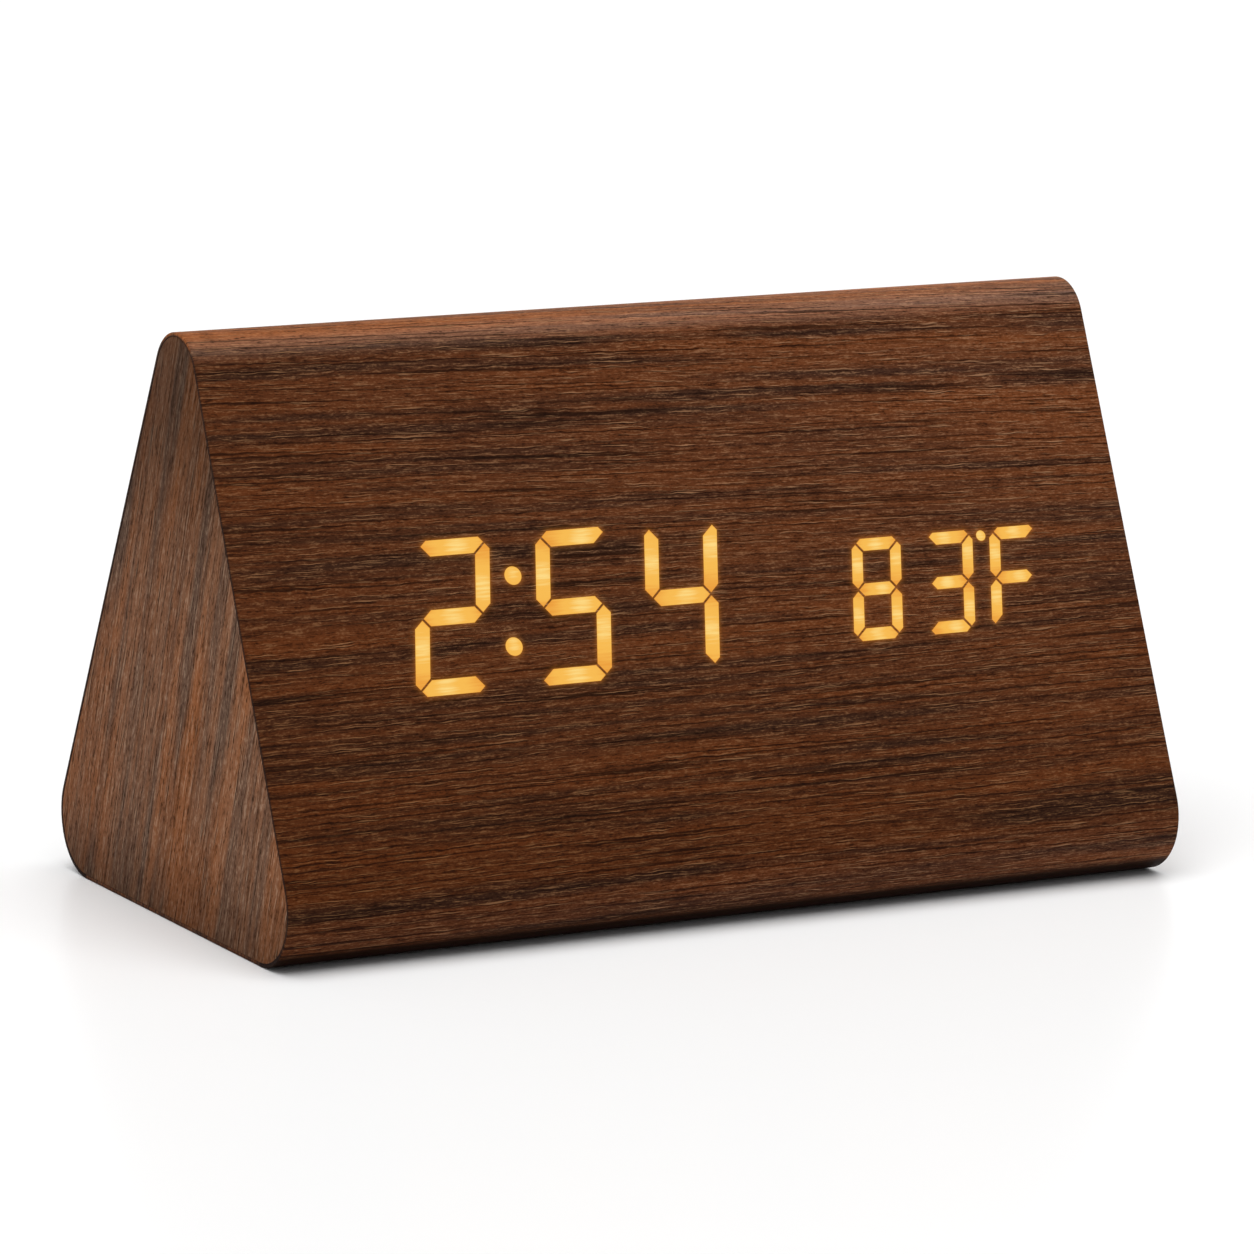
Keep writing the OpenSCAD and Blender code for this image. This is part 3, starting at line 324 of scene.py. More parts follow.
def walnut(name, deep, brown, warm, pale, pore, figure, fibre, crinkle, fan, sheen, glow=None):
    """Walnut veneer: fibres of falling size lie over each other along a grain that sways and fans out. They
    are wide dark and warm bands, dark streaks, fine light and dark fibres, and thin pale dashes with a dark
    pore below each; the light fibres and pale dashes are partly the wood's colour and partly painted glints,
    and the pore below each dash partly painted shadow. figure is the strength of streaks and dashes, fibre
    the length of the fine fibres, crinkle the size of their small waves, fan the greatest lean of the grain,
    and sheen the gloss. The sheet's attributes say where it nears the crest, which sets a painted sheen and
    highlight there, where it has painted shade towards its foot and its left, where it is darkened by dark
    cut edges or by painted shade, and where it glows."""
    wood = new_material(name)
    laid = add(wood, "ShaderNodeAttribute", attribute_name="laid").outputs["Vector"]
    place = add(wood, "ShaderNodeSeparateXYZ", {"Vector": laid})
    slant = add(wood, "ShaderNodeMapRange",
                {"Value": place.outputs["Y"], "From Min": fan_from, "From Max": fan_to, "To Max": fan},
                interpolation_type="SMOOTHSTEP").outputs[0]
    shift = add(wood, "ShaderNodeMath", {0: place.outputs["X"], 1: slant}, operation="MULTIPLY").outputs[0]
    for wave, size in ((fibres(wood, laid, 130 * MM, 16 * MM, 1.7, 1.0), sway_size),
                       (fibres(wood, laid, 3.2 * MM, 1.0 * MM, 5.1, 1.0), crinkle)):
        shift = add(wood, "ShaderNodeMath", {0: wave, 1: size, 2: shift}, operation="MULTIPLY_ADD").outputs[0]
    offset = add(wood, "ShaderNodeCombineXYZ", {"Y": shift}).outputs[0]
    grain = add(wood, "ShaderNodeVectorMath", {0: laid, 1: offset}, operation="ADD").outputs[0]
    bands = layer(wood, grain, 160 * MM, 2.4 * MM, 2.9, 0.36, 0.62, detail=3.0)
    zones = layer(wood, grain, 60 * MM, 5 * MM, 7.3, 0.44, 0.66, 0.5)
    streaks = layer(wood, grain, 50 * MM, 0.4 * MM, 11.9, 0.53, 0.64, 0.75 * figure)
    # The pale dashes and fine light fibres are partly the wood's colour and partly painted glints; the dark
    # pore below each dash is partly painted shadow.
    dashes = layer(wood, grain, 9 * MM, 0.26 * MM, 13.3, 0.61, 0.69, 0.6 * figure)
    pores = layer(wood, grain, 9 * MM, 0.26 * MM, 13.3, 0.6, 0.69, 0.7, shift=0.45)
    fine = fibres(wood, grain, fibre, 0.22 * MM, 3.7)
    for length, width, seed in ((0.08 * fibre, 0.2 * MM, 8.3), (0.3 * fibre, 0.45 * MM, 16.1)):
        finer = fibres(wood, grain, length, width, seed)
        fine = add(wood, "ShaderNodeMath", {0: fine, 1: finer}, operation="ADD").outputs[0]
    crown, toned, shade = (add(wood, "ShaderNodeAttribute", attribute_name=word).outputs["Fac"]
                           for word in ("crown", "toned", "shade"))
    # The crown sets a painted sheen on the ridge's flanks, less of it on the crest, and a painted highlight
    # along the crest with a ragged edge.
    ragged = add(wood, "ShaderNodeMath", {0: bands, 1: 0.45, 2: crown}, operation="MULTIPLY_ADD").outputs[0]
    lights, darks, painted_flank_sheen, crest, painted_crest_light = (
        add(wood, "ShaderNodeMapRange", {"Value": value, "From Min": low, "From Max": high, "To Max": top},
            interpolation_type="SMOOTHSTEP").outputs[0]
        for value, low, high, top in (
            (fine, 1.52, 1.86, 0.3 + 0.1 * figure), (fine, 1.5, 1.13, 0.75),
            (crown, 0.0, 0.42, 1.0), (crown, 0.45, 0.75, 0.67), (ragged, 0.45, 1.4, 0.9)))
    colour = linear(deep)
    for part, tone, blend in (
            (bands, brown, "MIX"), (zones, warm, "MIX"), (lights, pale, "MIX"), (painted_flank_sheen, painted_ridge_sheen, "ADD"),
            (crest, painted_ridge_sheen, "SUBTRACT"), (painted_crest_light, painted_crest_highlight, "ADD"), (darks, pore, "MIX"),
            (streaks, pore, "MIX"), (pores, pore, "MIX"), (dashes, pale, "MIX"),
            (toned, painted_shade_brown, "MULTIPLY"), (shade, pore, "MIX")):
        colour = add(wood, "ShaderNodeMix", {0: part, 6: colour, 7: linear(tone)},
                     data_type="RGBA", blend_type=blend).outputs[2]
    hollow = add(wood, "ShaderNodeMath", {0: fine, 1: pores}, operation="SUBTRACT").outputs[0]
    bump = add(wood, "ShaderNodeBump", {"Height": hollow, "Distance": 0.03 * MM, "Strength": 0.6})
    satin = add(wood, "ShaderNodeMapRange",
                {"Value": hollow, "From Max": 2.2, "To Min": 0.62, "To Max": 0.46})
    inputs = {"Base Color": colour, "Roughness": satin.outputs[0], "Normal": bump.outputs[0],
              "Specular IOR Level": sheen}
    if glow:
        halo = add(wood, "ShaderNodeAttribute", attribute_name="glow")
        inputs.update({"Emission Color": linear(glow), "Emission Strength": halo.outputs["Fac"]})
    surface(wood, inputs)
    return wood


# Wrapped walnut is satin and nearly chocolate brown, with black-brown streaks and rust-coloured zones.
dark_walnut = dict(deep="#42291d", brown="#693b21", warm="#7c4422", pale="#b68864", pore="#170600",
                   figure=1.0, fibre=8 * MM, crinkle=0.5 * MM, sheen=0.032)
walnut_wrap = walnut("walnut_veneer", **dark_walnut, fan=0.032, glow="#e08a28")

lit_nodes = ("time_digits", "time_colon", "temperature_digits", "temperature_unit")
lit = {node: outlines(node) for node in lit_nodes}
strokes = [loop for loops in lit.values() for loop in loops]
# Light seeps from the strokes into the wood: how far, how strongly, and on which rings of points round them.
halo_reach = 0.28 * MM
halo_share = 0.22
halo_rings = np.array([0.12, 0.3, 0.55, 0.9, 1.4, 2.2]) * MM
halo_room = 0.9
rim_steps = 48


def stepped(loop):
    """An outline with more points: each of its edges is cut into equal steps, about rim_steps in all."""
    count = max(1, rim_steps // len(loop))
    step = np.linspace(0, 1, count, endpoint=False)[:, None]
    return (loop[:, None] + (np.roll(loop, -1, axis=0) - loop)[:, None] * step).reshape(-1, 2)


def halo_spots():
    """Points round every stroke: its outline in steps, moved out by each ring, where no other stroke is
    nearer."""
    spots = []
    for loop in strokes:
        rim = stepped(loop)
        edge = np.repeat(np.roll(loop, -1, axis=0) - loop, len(rim) // len(loop), axis=0)
        away = np.stack([edge[:, 1], -edge[:, 0]], -1) / np.linalg.norm(edge, axis=1)[:, None]
        ring = (rim[None] + halo_rings[:, None, None] * away).reshape(-1, 2)
        far = np.repeat(halo_rings, len(rim))
        spots.append(ring[gap_to(ring, strokes) > halo_room * far])
    spots = np.concatenate(spots)
    return spots[~np.any([inside(spots, loop) for loop in strokes], axis=0)]


panel_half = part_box("rear_panel")[1].x
panel_high = (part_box("rear_panel")[1].z - face_low[1]) / face_up[1]
panel_gap = 0.2 * MM
panel_corner = 5 * MM
panel_opening = rounded_rectangle(
    np.array([0, face_length / 2]), np.array([panel_half, panel_high - face_length / 2]) + panel_gap,
    panel_corner + panel_gap)

# The section of the sheet, from the front's foot over the ridge to the rear's foot: the places and normals of
# its stations, and the length up to each. A flat goes on from an arc with its normal, while the middle and
# the radius go over to the next arc's.
stations = []
for (middle, radius, start, end), (next_middle, next_radius, *_) in zip(arcs, arcs[1:] + arcs[-1:]):
    step = np.concatenate([np.zeros(arc_steps), flat_steps])
    turn = np.concatenate([np.linspace(start, end, arc_steps), np.full(len(flat_steps), end)])
    out = np.stack([np.cos(turn), np.sin(turn)], -1)
    far = radius + step * (next_radius - radius)
    place = middle + step[:, None] * (next_middle - middle) + far[:, None] * out
    stations.append(np.concatenate([place, out], 1))
leg = arc_steps + len(flat_steps)  # the stations of an arc and of the flat after it
section, section_out = np.split(np.concatenate(stations)[:-len(flat_steps)], 2, axis=1)
section_run = np.concatenate([[0], np.cumsum(np.linalg.norm(np.diff(section, axis=0), axis=1))])
flat_half = half_length - edge_ease
ease = np.linspace(0, math.pi / 2, 4)
# How dark the cut edges are and how much painted highlight the ridge's ends get, how deep the painted shade
# is at the foot and the left and how much of it the crest is spared, how dark the painted shade underneath
# is, and where these set in as the face turns.
cut_shade = 0.5
corner_highlight = 0.5
highlight_crown = 0.3
foot_painted_shade = 0.78
left_painted_shade = 0.68
crest_untoned = 0.5
under_shade = 0.97
under_start, under_range = 0.62, 0.13
facing_span, facing_least = 0.8, 0.2


def grid(rows, columns):
    """Triangles of a grid of points that are numbered row by row."""
    corner = (np.arange(rows - 1)[:, None] * columns + np.arange(columns - 1)).reshape(-1, 1)
    return np.concatenate([corner + (0, 1, columns + 1), corner + (0, columns + 1, columns)])


def band(first, count, x, drop):
    """A band of the sheet over some stations of its section, with columns at x that lie a drop under the
    face, as points, normals, drops, lengths along the section and triangles."""
    station = np.repeat(np.arange(first, first + count), len(x))
    return (np.column_stack([np.tile(x, count), section[station]]),
            np.column_stack([np.zeros(len(station)), section_out[station]]),
            np.tile(drop, count), section_run[station], grid(count, len(x)))


def flat(side, openings, spots, start, rise):
    """A flat of the sheet with openings, on the front or turned to the rear, in the same form as a band."""
    at, triangles = pierced(flat_half, face_length, openings, spots)
    normals = np.tile(np.array([0, *face_out]) * side, (len(at), 1))
    return (on_front(at[:, 0], at[:, 1], 0) * side, normals, np.zeros(len(at)), start + rise * at[:, 1],
            triangles)


patches = [band(i * leg, arc_steps, np.array([-flat_half, flat_half]), np.zeros(2)) for i in range(len(arcs))]
eased_x = flat_half + edge_ease * np.sin(ease)
eased_drop = edge_ease * (1 - np.cos(ease))
patches += [band(0, len(section), end * eased_x, eased_drop) for end in (-1, 1)]
patches += [flat(front_side, strokes, halo_spots(), section_run[arc_steps - 1], 1),
            flat(rear_side, [panel_opening], np.empty((0, 2)), section_run[2 * leg], -1)]
starts = np.cumsum([0] + [len(patch[0]) for patch in patches])
skin, out, drop, run = (np.concatenate(values) for values in list(zip(*patches))[:4])
skin_faces = np.concatenate([patch[4] + start for patch, start in zip(patches, starts)])


def thick(points, normals, drop, thickness, faces):
    """A closed sheet: the skin a drop under its points, a copy a thickness under them, and a strip along each
    free edge. Seams are welded first, so that only true edges, which one face alone holds, get a strip."""
    first, weld = np.unique(points.round(weld_digits), axis=0, return_index=True, return_inverse=True)[1:]
    faces = first[weld.ravel()[faces]]
    facing = np.cross(points[faces[:, 1]] - points[faces[:, 0]], points[faces[:, 2]] - points[faces[:, 0]])
    turned = (facing * normals[faces[:, 0]]).sum(1) < 0
    faces[turned] = faces[turned][:, ::-1]
    ends = np.concatenate([faces[:, [0, 1]], faces[:, [1, 2]], faces[:, [2, 0]]])
    count = len(points)
    free = ends[~np.isin(ends[:, 0] * count + ends[:, 1], ends[:, 1] * count + ends[:, 0])]
    rim = np.concatenate([np.stack([free[:, 1], free[:, 0], free[:, 0] + count], -1),
                          np.stack([free[:, 1], free[:, 0] + count, free[:, 1] + count], -1)])
    return (np.concatenate([points - drop[:, None] * normals, points - thickness * normals]),
            np.concatenate([faces, faces[:, ::-1] + count, rim]))


sheet, sheet_faces = thick(skin, out, drop + stroke_stand, veneer_thickness, skin_faces)
on_face = np.isclose(out @ (0, *face_out), 1)
on_flat = np.stack([skin[:, 0], (skin[:, 1:] - face_low) @ face_up], -1)
glow = np.where(on_face, halo_share * np.exp(-gap_to(on_flat, strokes) / halo_reach), 0)
# How near the crest each point is: it sets the painted sheen and highlight of the ridge.
crown = (1 - np.arccos(out[:, 2].clip(-1, 1)) / (math.pi / 2 - lean)).clip(0, 1)
# The eased corners by the ridge get more of it, as a painted highlight.
crown += corner_highlight * (crown > highlight_crown) * drop / edge_ease
# Painted shade that deepens towards the foot and the left, less on the rounding below and on the crest.
height = ((skin[:, 2] - face_low[1]) / (face_length * face_up[1])).clip(0, 1)
# Painted shade, nearly black, under the rounding of each foot; the cut edges are dark as well.
under = ((-out[:, 2] - under_start) / under_range).clip(0, 1)
facing = ((out[:, 2] + facing_span) / (face_out[1] + facing_span)).clip(facing_least, 1)
leftward = 0.5 - skin[:, 0] / (2 * half_length)
toned = np.hypot(foot_painted_shade * (1 - height) * facing, left_painted_shade * leftward) * (1 - crest_untoned * crown)
shade = 1 - (1 - cut_shade * (1 - crown) * drop / edge_ease) * (1 - under_shade * under)
new_piece("wrapped_veneer", sheet, sheet_faces.tolist(), walnut_wrap, "walnut_veneer", "case", "wrap_veneer",
          laid=np.tile(np.column_stack([skin[:, 0], run, 0 * run]), (2, 1)),
          glow=np.concatenate([glow, 0 * glow]), crown=np.tile(crown, 2), toned=np.tile(toned, 2),
          shade=np.concatenate([shade, np.ones(len(shade))]))


# Lit strokes: the light of the diodes in the wood of the front, as crisp six-sided strokes and round dots.
# Each is brightest over its diode, which sits a little off its middle, and goes to deep amber at its rim.
lamp_spread = 0.42
lamp_shift = 0.16
least_lamp = 5 * MM
rim_light = 0.35
front_sheet = edge_radius * (0.5 * math.pi + lean)  # the sheet's length round the foot, below the front
placing = np.random.default_rng(5)


def hoops(rows, columns):
    """Four-sided faces between closed rings of points that are numbered ring by ring."""
    low = np.arange(rows - 1)[:, None] * columns
    here, beside = low + np.arange(columns), low + (np.arange(columns) + 1) % columns
    return np.stack([here, beside, beside + columns, here + columns], -1).reshape(-1, 4)


def capped(rows, columns):
    """Lists of the faces between closed rings of points, and of one face across each end."""
    last = (rows - 1) * columns
    return hoops(rows, columns).tolist() + [list(range(columns)), list(range(last, last + columns))]


def lamp_plate(loop):
    """A plate of light: its outline in steps towards the middle, closed at both faces, with how bright it is:
    exp(-(d / spread)^2) of the distance from the diode, and less at the rim."""
    rim = stepped(loop)
    middle = rim.mean(0)
    _, axes = np.linalg.eigh(np.cov((rim - middle).T))
    length = np.ptp((rim - middle) @ axes[:, 1])
    diode = middle + axes[:, 1] * length * lamp_shift * placing.uniform(-1, 1)
    shares = np.array([0, 1, 1, 0.95, 0.82, 0.65, 0.45, 0.22, 0])
    depths = np.where(np.arange(len(shares)) < 2, -veneer_thickness, 0)
    at = middle + shares[:, None, None] * (rim - middle)
    bright = np.exp(-(np.linalg.norm(at - diode, axis=2) / (lamp_spread * max(length, least_lamp))) ** 2)
    bright *= np.where(shares == 1, rim_light, 1)[:, None]
    faces = hoops(len(shares), len(rim))
    points = on_front(at[:, :, 0], at[:, :, 1], depths[:, None]).reshape(-1, 3)
    laid = np.stack([at[:, :, 0], at[:, :, 1] + front_sheet, 0 * at[:, :, 0]], -1).reshape(-1, 3)
    return points, faces, bright.ravel(), laid


def amber_glow():
    """Amber light in wood: emission from deep amber to pale yellow with the lamp's brightness, and faintly in
    it the fibres of the wood."""
    light = new_material("amber_light_in_wood")
    lamp = add(light, "ShaderNodeAttribute", attribute_name="lamp").outputs["Fac"]
    laid = add(light, "ShaderNodeAttribute", attribute_name="laid").outputs["Vector"]
    grain = layer(light, laid, 6 * MM, 0.4 * MM, 3.7, 0.3, 0.7)
    spread = add(light, "ShaderNodeMath", {0: grain, 1: 0.22, 2: lamp}, operation="MULTIPLY_ADD").outputs[0]
    colour = linear("#eb9a2f")
    for low, high, tone in ((0.1, 0.75, "#f8bb4c"), (0.85, 1.3, "#ffdf88")):
        part = add(light, "ShaderNodeMapRange", {"Value": spread, "From Min": low, "From Max": high},
                   interpolation_type="SMOOTHSTEP").outputs[0]
        colour = add(light, "ShaderNodeMix", {0: part, 6: colour, 7: linear(tone)},
                     data_type="RGBA").outputs[2]
    surface(light, {"Base Color": linear("#2a1808"), "Roughness": 0.6, "Specular IOR Level": 0.2,
                    "Emission Color": colour, "Emission Strength": 0.95})
    return light


amber_light = amber_glow()
for node, loops in lit.items():
    plates = [lamp_plate(loop) for loop in loops]
    starts = np.cumsum([0] + [len(plate[0]) for plate in plates])
    points, bright, laid = (np.concatenate([plate[i] for plate in plates]) for i in (0, 2, 3))
    faces = np.concatenate([plate[1] + start for plate, start in zip(plates, starts)]).tolist()
    new_piece("lit_" + node, points, faces, amber_light, "lit_amber", "case", node, lamp=bright, laid=laid)


# End and base veneers: separate sheets of paler walnut on the two ends inside the wrapped sheet, with their
# grain up the end and darker towards the ridge, and one sheet of the wrap's walnut underneath.
glue_line = 0.02 * MM
rim_radius = 0.12 * MM
inner_half = half_length - veneer_thickness
end_grain_lean = math.radians(16)
end_grain_scale = 0.55
# How much darker the end grows up to the ridge between two heights, and the painted shade at its foot and
# towards its rear.
end_shade = 0.55
end_pale_height = 44 * MM
end_dark_height = 78 * MM
end_foot_shade = 0.42
end_foot_height = 14 * MM
end_rear_shade = 0.16
end_rear_reach = 20 * MM


def end_sheet(side):
    """One end veneer: the case's section, set in by the wrap's thickness, carried through the sheet, with a
    quarter-round rim outside and a flat face at each side, whose rungs join stations of the same height. It
    is darker from its middle up to the ridge, and has painted shade down to its foot and a little towards
    the rear."""
    insets = np.concatenate([[0], rim_radius * (1 - np.cos(ease))]) + veneer_thickness + glue_line
    depths = np.concatenate([[inner_half], half_length - rim_radius * (1 - np.sin(ease))])
    loops = section - insets[:, None, None] * section_out
    rows, columns = loops.shape[:2]
    points = np.concatenate([np.broadcast_to(side * depths[:, None, None], (rows, columns, 1)), loops], 2)
    points = points.reshape(-1, 3)
    low = np.arange(columns // 2 - 1)
    rungs = np.stack([low, low + 1, columns - 2 - low, columns - 1 - low], -1)
    faces = np.concatenate([hoops(rows, columns), rungs, rungs + (rows - 1) * columns]).tolist()
    cosine, sine = math.cos(end_grain_lean), math.sin(end_grain_lean)
    along = points[:, 2] * cosine - points[:, 1] * sine
    across = end_grain_scale * (points[:, 1] * cosine + points[:, 2] * sine)
    rise = ((points[:, 2] - end_pale_height) / (end_dark_height - end_pale_height)).clip(0, 1)
    sink = (1 - points[:, 2] / end_foot_height).clip(0, 1)
    rear = (points[:, 1] / end_rear_reach).clip(0, 1)
    shade = end_shade * rise * rise * (3 - 2 * rise) + end_foot_shade * sink + end_rear_shade * rear
    return points, faces, np.column_stack([along, across, 0 * along]), shade


# End walnut is greyer and plainer, with fine straight fibres.
walnut_end = walnut("end_walnut_veneer", deep="#634b3d", brown="#865b41", warm="#9c5a2c", pale="#c3a58b",
                    pore="#200e03", figure=0.4, fibre=11 * MM, crinkle=0.2 * MM, fan=0.0, sheen=0.008)
for side, word in ((-1, "left"), (1, "right")):
    points, faces, laid, shade = end_sheet(side)
    new_piece(word + "_end_sheet", points, faces, walnut_end, "end_veneer", "case", word + "_end_veneer",
              laid=laid, shade=shade)
# The base sheet's rings go from its upper face round its dark cut edges, darkest at the floor as painted
# shadow, to its under face, which has painted shade only beside them: how far each is set in, where it lies
# and how much it is shaded.
base_border = 4 * MM
base_low, base_high = (np.array(corner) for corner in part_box("base_veneer"))
base_rings = (
    (edge_ease, base_high[2], 1.0), (0, base_high[2], 0.3), (0, base_low[2] + edge_ease, 0.6),
    (edge_ease, base_low[2], 0.9), (base_border, base_low[2], 0.2))
corners = np.array([[-1, -1], [1, -1], [1, 1], [-1, 1]])
points = np.concatenate([np.column_stack([corners * (base_high[:2] - inset), np.full(len(corners), level)])
                         for inset, level, _ in base_rings])
# Base walnut is the wrap's, with a grain that runs straight.
walnut_base = walnut("base_walnut_veneer", **dark_walnut, fan=0.0)
new_piece("base_sheet", points, capped(len(base_rings), len(corners)), walnut_base, "walnut_veneer", "case",
          "base_veneer", laid=points * (1, 1, 0),
          shade=np.repeat([tone for *_, tone in base_rings], len(corners)))


# Rear insert, battery door and buttons: black ABS, injection moulded in a spark-eroded tool, so that the
# faces have a fine even grit and every edge is slightly rounded. Four countersunk screws hold the insert.
flat_angle = math.radians(0.5)
bevel_angle = math.radians(30)
insert_edge = 0.12 * MM
key_edge = 0.2 * MM


def softened(name, node, width, material, body):
    """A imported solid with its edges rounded: its triangles are welded, flat faces joined, edges over the
    bevel angle bevelled by width, and its large faces shade as flat."""
    shell = bmesh.new()
    shell.from_mesh(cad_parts[node].data)
    bmesh.ops.remove_doubles(shell, verts=shell.verts, dist=weld_distance)
    bmesh.ops.dissolve_limit(shell, angle_limit=flat_angle, verts=shell.verts, edges=shell.edges)
    mesh = bpy.data.meshes.new(name)
    shell.to_mesh(mesh)
    shell.free()
    mesh.shade_smooth()
    mesh.materials.append(material)
    piece = bpy.data.objects.new(name, mesh)
    bpy.context.scene.collection.objects.link(piece)
    bevel = piece.modifiers.new("eased_edges", "BEVEL")
    bevel.width, bevel.segments, bevel.limit_method = width, 2, "ANGLE"
    bevel.angle_limit = bevel_angle
    flats = piece.modifiers.new("flat_faces", "WEIGHTED_NORMAL")
    flats.mode, flats.weight = "FACE_AREA", 100
    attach(piece, body)
    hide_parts(node)


# Spark-eroded ABS is matt black with a grit of about 0.2 mm, drawn at 0.3 mm so that it shows.
black_abs = grained("spark_eroded_abs", "#151516", "#1f1f21", 0.3 * MM, 0.5, 0.012 * MM,
                    **{"Specular IOR Level": 0.25})
softened("rear_insert", "rear_panel", insert_edge, black_abs, "case")
softened("battery_hatch", "battery_door", insert_edge, black_abs, "battery_door")
# Button ABS is smoother and a little glossier.
button_abs = grained("polished_abs", "#1a1a1c", "#222225", 0.4 * MM, 0.34, 0.003 * MM)
for word in ("set", "up", "down"):
    softened(word + "_key", word + "_button", key_edge, button_abs, word + "_button")


# Batteries and contacts: four AAA cells, each a drawn steel can with a bare nub and foot in a printed foil
# jacket; two springs wound of nickel-plated wire; three stamped plates; and a red and a black lead from the
# plates up to the main board.
def span(node, side):
    """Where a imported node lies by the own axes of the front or, turned about, of the rear: its least and its
    greatest x, height up the slope and distance out of the face."""
    at = vertices(node) * side
    away = at[:, 1:] - face_low
    own = np.column_stack([at[:, 0], away @ face_up, away @ face_out])
    return own.min(0), own.max(0)


cell_radius = 5.25 * MM
cell_length = 44.5 * MM
cell_touch = 0.05 * MM
cell_pitch = cell_length + cell_touch
cells_low, cells_high = span("aaa_cells", rear_side)
plate_low, plate_high = span("battery_negative_plate", rear_side)
row_start = -plate_high[0]
row_depth = (cells_low[2] + cells_high[2]) / 2
cell_first = row_start + cells_high[0] - cell_pitch - cell_length
# Which way each row of cells runs, and how far up the rear it lies.
rows = (1, cells_low[1] + cell_radius), (-1, cells_high[1] - cell_radius)


def in_row(row, along, up, out):
    """Points on the rear by a row's own axes: along it from its spring, and up and out from its middle."""
    way, height = row
    return on_front(way * (along - row_start), height + way * up, row_depth + out) * rear_side


def tube(path, radius, columns=12):
    """A round wire along a path: a circle at each station, square to the way the path runs, and flat ends."""
    way = np.gradient(path, axis=0)
    way /= np.linalg.norm(way, axis=1)[:, None]
    aside = (1, 0, 0) - way[:, :1] * way
    aside /= np.linalg.norm(aside, axis=1)[:, None]
    turn = np.linspace(0, 2 * math.pi, columns, endpoint=False)[:, None]
    square = np.cross(way, aside)
    rings = path[:, None] + radius * (np.cos(turn) * aside[:, None] + np.sin(turn) * square[:, None])
    return rings.reshape(-1, 3), capped(len(path), columns)


def smoothed(corners, steps=14):
    """A curve through corners, of cubics that pass each corner as the line between its neighbours runs."""
    corners = np.array(corners)
    padded = np.concatenate([2 * corners[:1] - corners[1:2], corners, 2 * corners[-1:] - corners[-2:-1]])
    before, here, there, after = (padded[i:len(padded) - 3 + i, None] for i in range(4))
    step = np.linspace(0, 1, steps, endpoint=False)[:, None]
    curve = here + step / 2 * (there - before + step * (
        2 * before - 5 * here + 4 * there - after + step * (3 * here - before - 3 * there + after)))
    return np.concatenate([curve.reshape(-1, 3), corners[-1:]])


def joined(shapes):
    """Several shapes, each of points and faces, as one."""
    starts = np.cumsum([0] + [len(points) for points, _ in shapes])
    return (np.concatenate([points for points, _ in shapes]),
            [[int(start) + i for i in face] for start, (_, faces) in zip(starts, shapes) for face in faces])


# Nickel plating is bright, warm and smooth, with faint clouds.
nickel_steel = grained("nickel_plated_steel", "#b9b6ae", "#d2d0c8", 0.8 * MM, 0.25, 0.001 * MM, Metallic=1.0)
dress(nickel_steel, "battery_positive_plate", "battery_negative_plate", "battery_bridge_plate",
      "power_socket_pin")
spring_base = 7 * MM
spring_tip = 4.4 * MM
spring_wire = 0.6 * MM
spring_turns = 3.5
coil_steps = 48
spring_rise = cell_first - spring_wire - 2 * cell_touch
wound = np.linspace(0, 1, int(coil_steps * spring_turns) + 1)
coil_turn = 2 * math.pi * spring_turns * wound
coil_radius = (spring_base + (spring_tip - spring_base) * wound - spring_wire) / 2
coil = (spring_wire / 2 + cell_touch + spring_rise * wound,
        coil_radius * np.cos(coil_turn), coil_radius * np.sin(coil_turn))
springs = joined([tube(in_row(row, *coil), spring_wire / 2) for row in rows])
new_piece("contact_springs", *springs, nickel_steel, "nickel_steel", "case", "battery_springs")


def foil_jacket():
    """Printed foil: green lacquer with a pale band, set by the length along the cell, and bare nickel by the
    attribute bare. Fine noise clouds the roughness."""
    foil = new_material("printed_foil_jacket")
    along, bare = (add(foil, "ShaderNodeAttribute", attribute_name=word).outputs["Fac"]
                   for word in ("along", "bare"))
    rise, fall = (add(foil, "ShaderNodeMapRange", {"Value": along, "From Min": low, "From Max": high},
                      interpolation_type="SMOOTHSTEP").outputs[0]
                  for low, high in ((0.8, 0.803), (0.85, 0.847)))
    band = add(foil, "ShaderNodeMath", {0: rise, 1: fall}, operation="MULTIPLY").outputs[0]
    place = add(foil, "ShaderNodeTexCoord")
    cloud = add(foil, "ShaderNodeTexNoise",
                {"Vector": place.outputs["Object"], "Scale": 1 / (0.8 * MM), "Detail": 3.0}).outputs["Fac"]
    colour = linear("#235c33")
    for part, tone in ((cloud, "#2f6f40"), (band, "#c9ccc4"), (bare, "#c4c1b9")):
        colour = add(foil, "ShaderNodeMix", {0: part, 6: colour, 7: linear(tone)},
                     data_type="RGBA").outputs[2]
    metal = add(foil, "ShaderNodeMapRange", {"Value": bare, "To Min": 0.35, "To Max": 1.0})
    gloss = add(foil, "ShaderNodeMapRange", {"Value": cloud, "To Min": 0.24, "To Max": 0.36})
    surface(foil, {"Base Color": colour, "Metallic": metal.outputs[0], "Roughness": gloss.outputs[0]})
    return foil


def quarter(start, end, square):
    """A quarter of an ellipse between two places of a profile, setting out square to the axis or along it."""
    turn = np.linspace(0, math.pi / 2, 5)
    share = np.stack([1 - np.cos(turn), np.sin(turn)], -1)
    return start + np.subtract(end, start) * (share if square else share[:, ::-1])


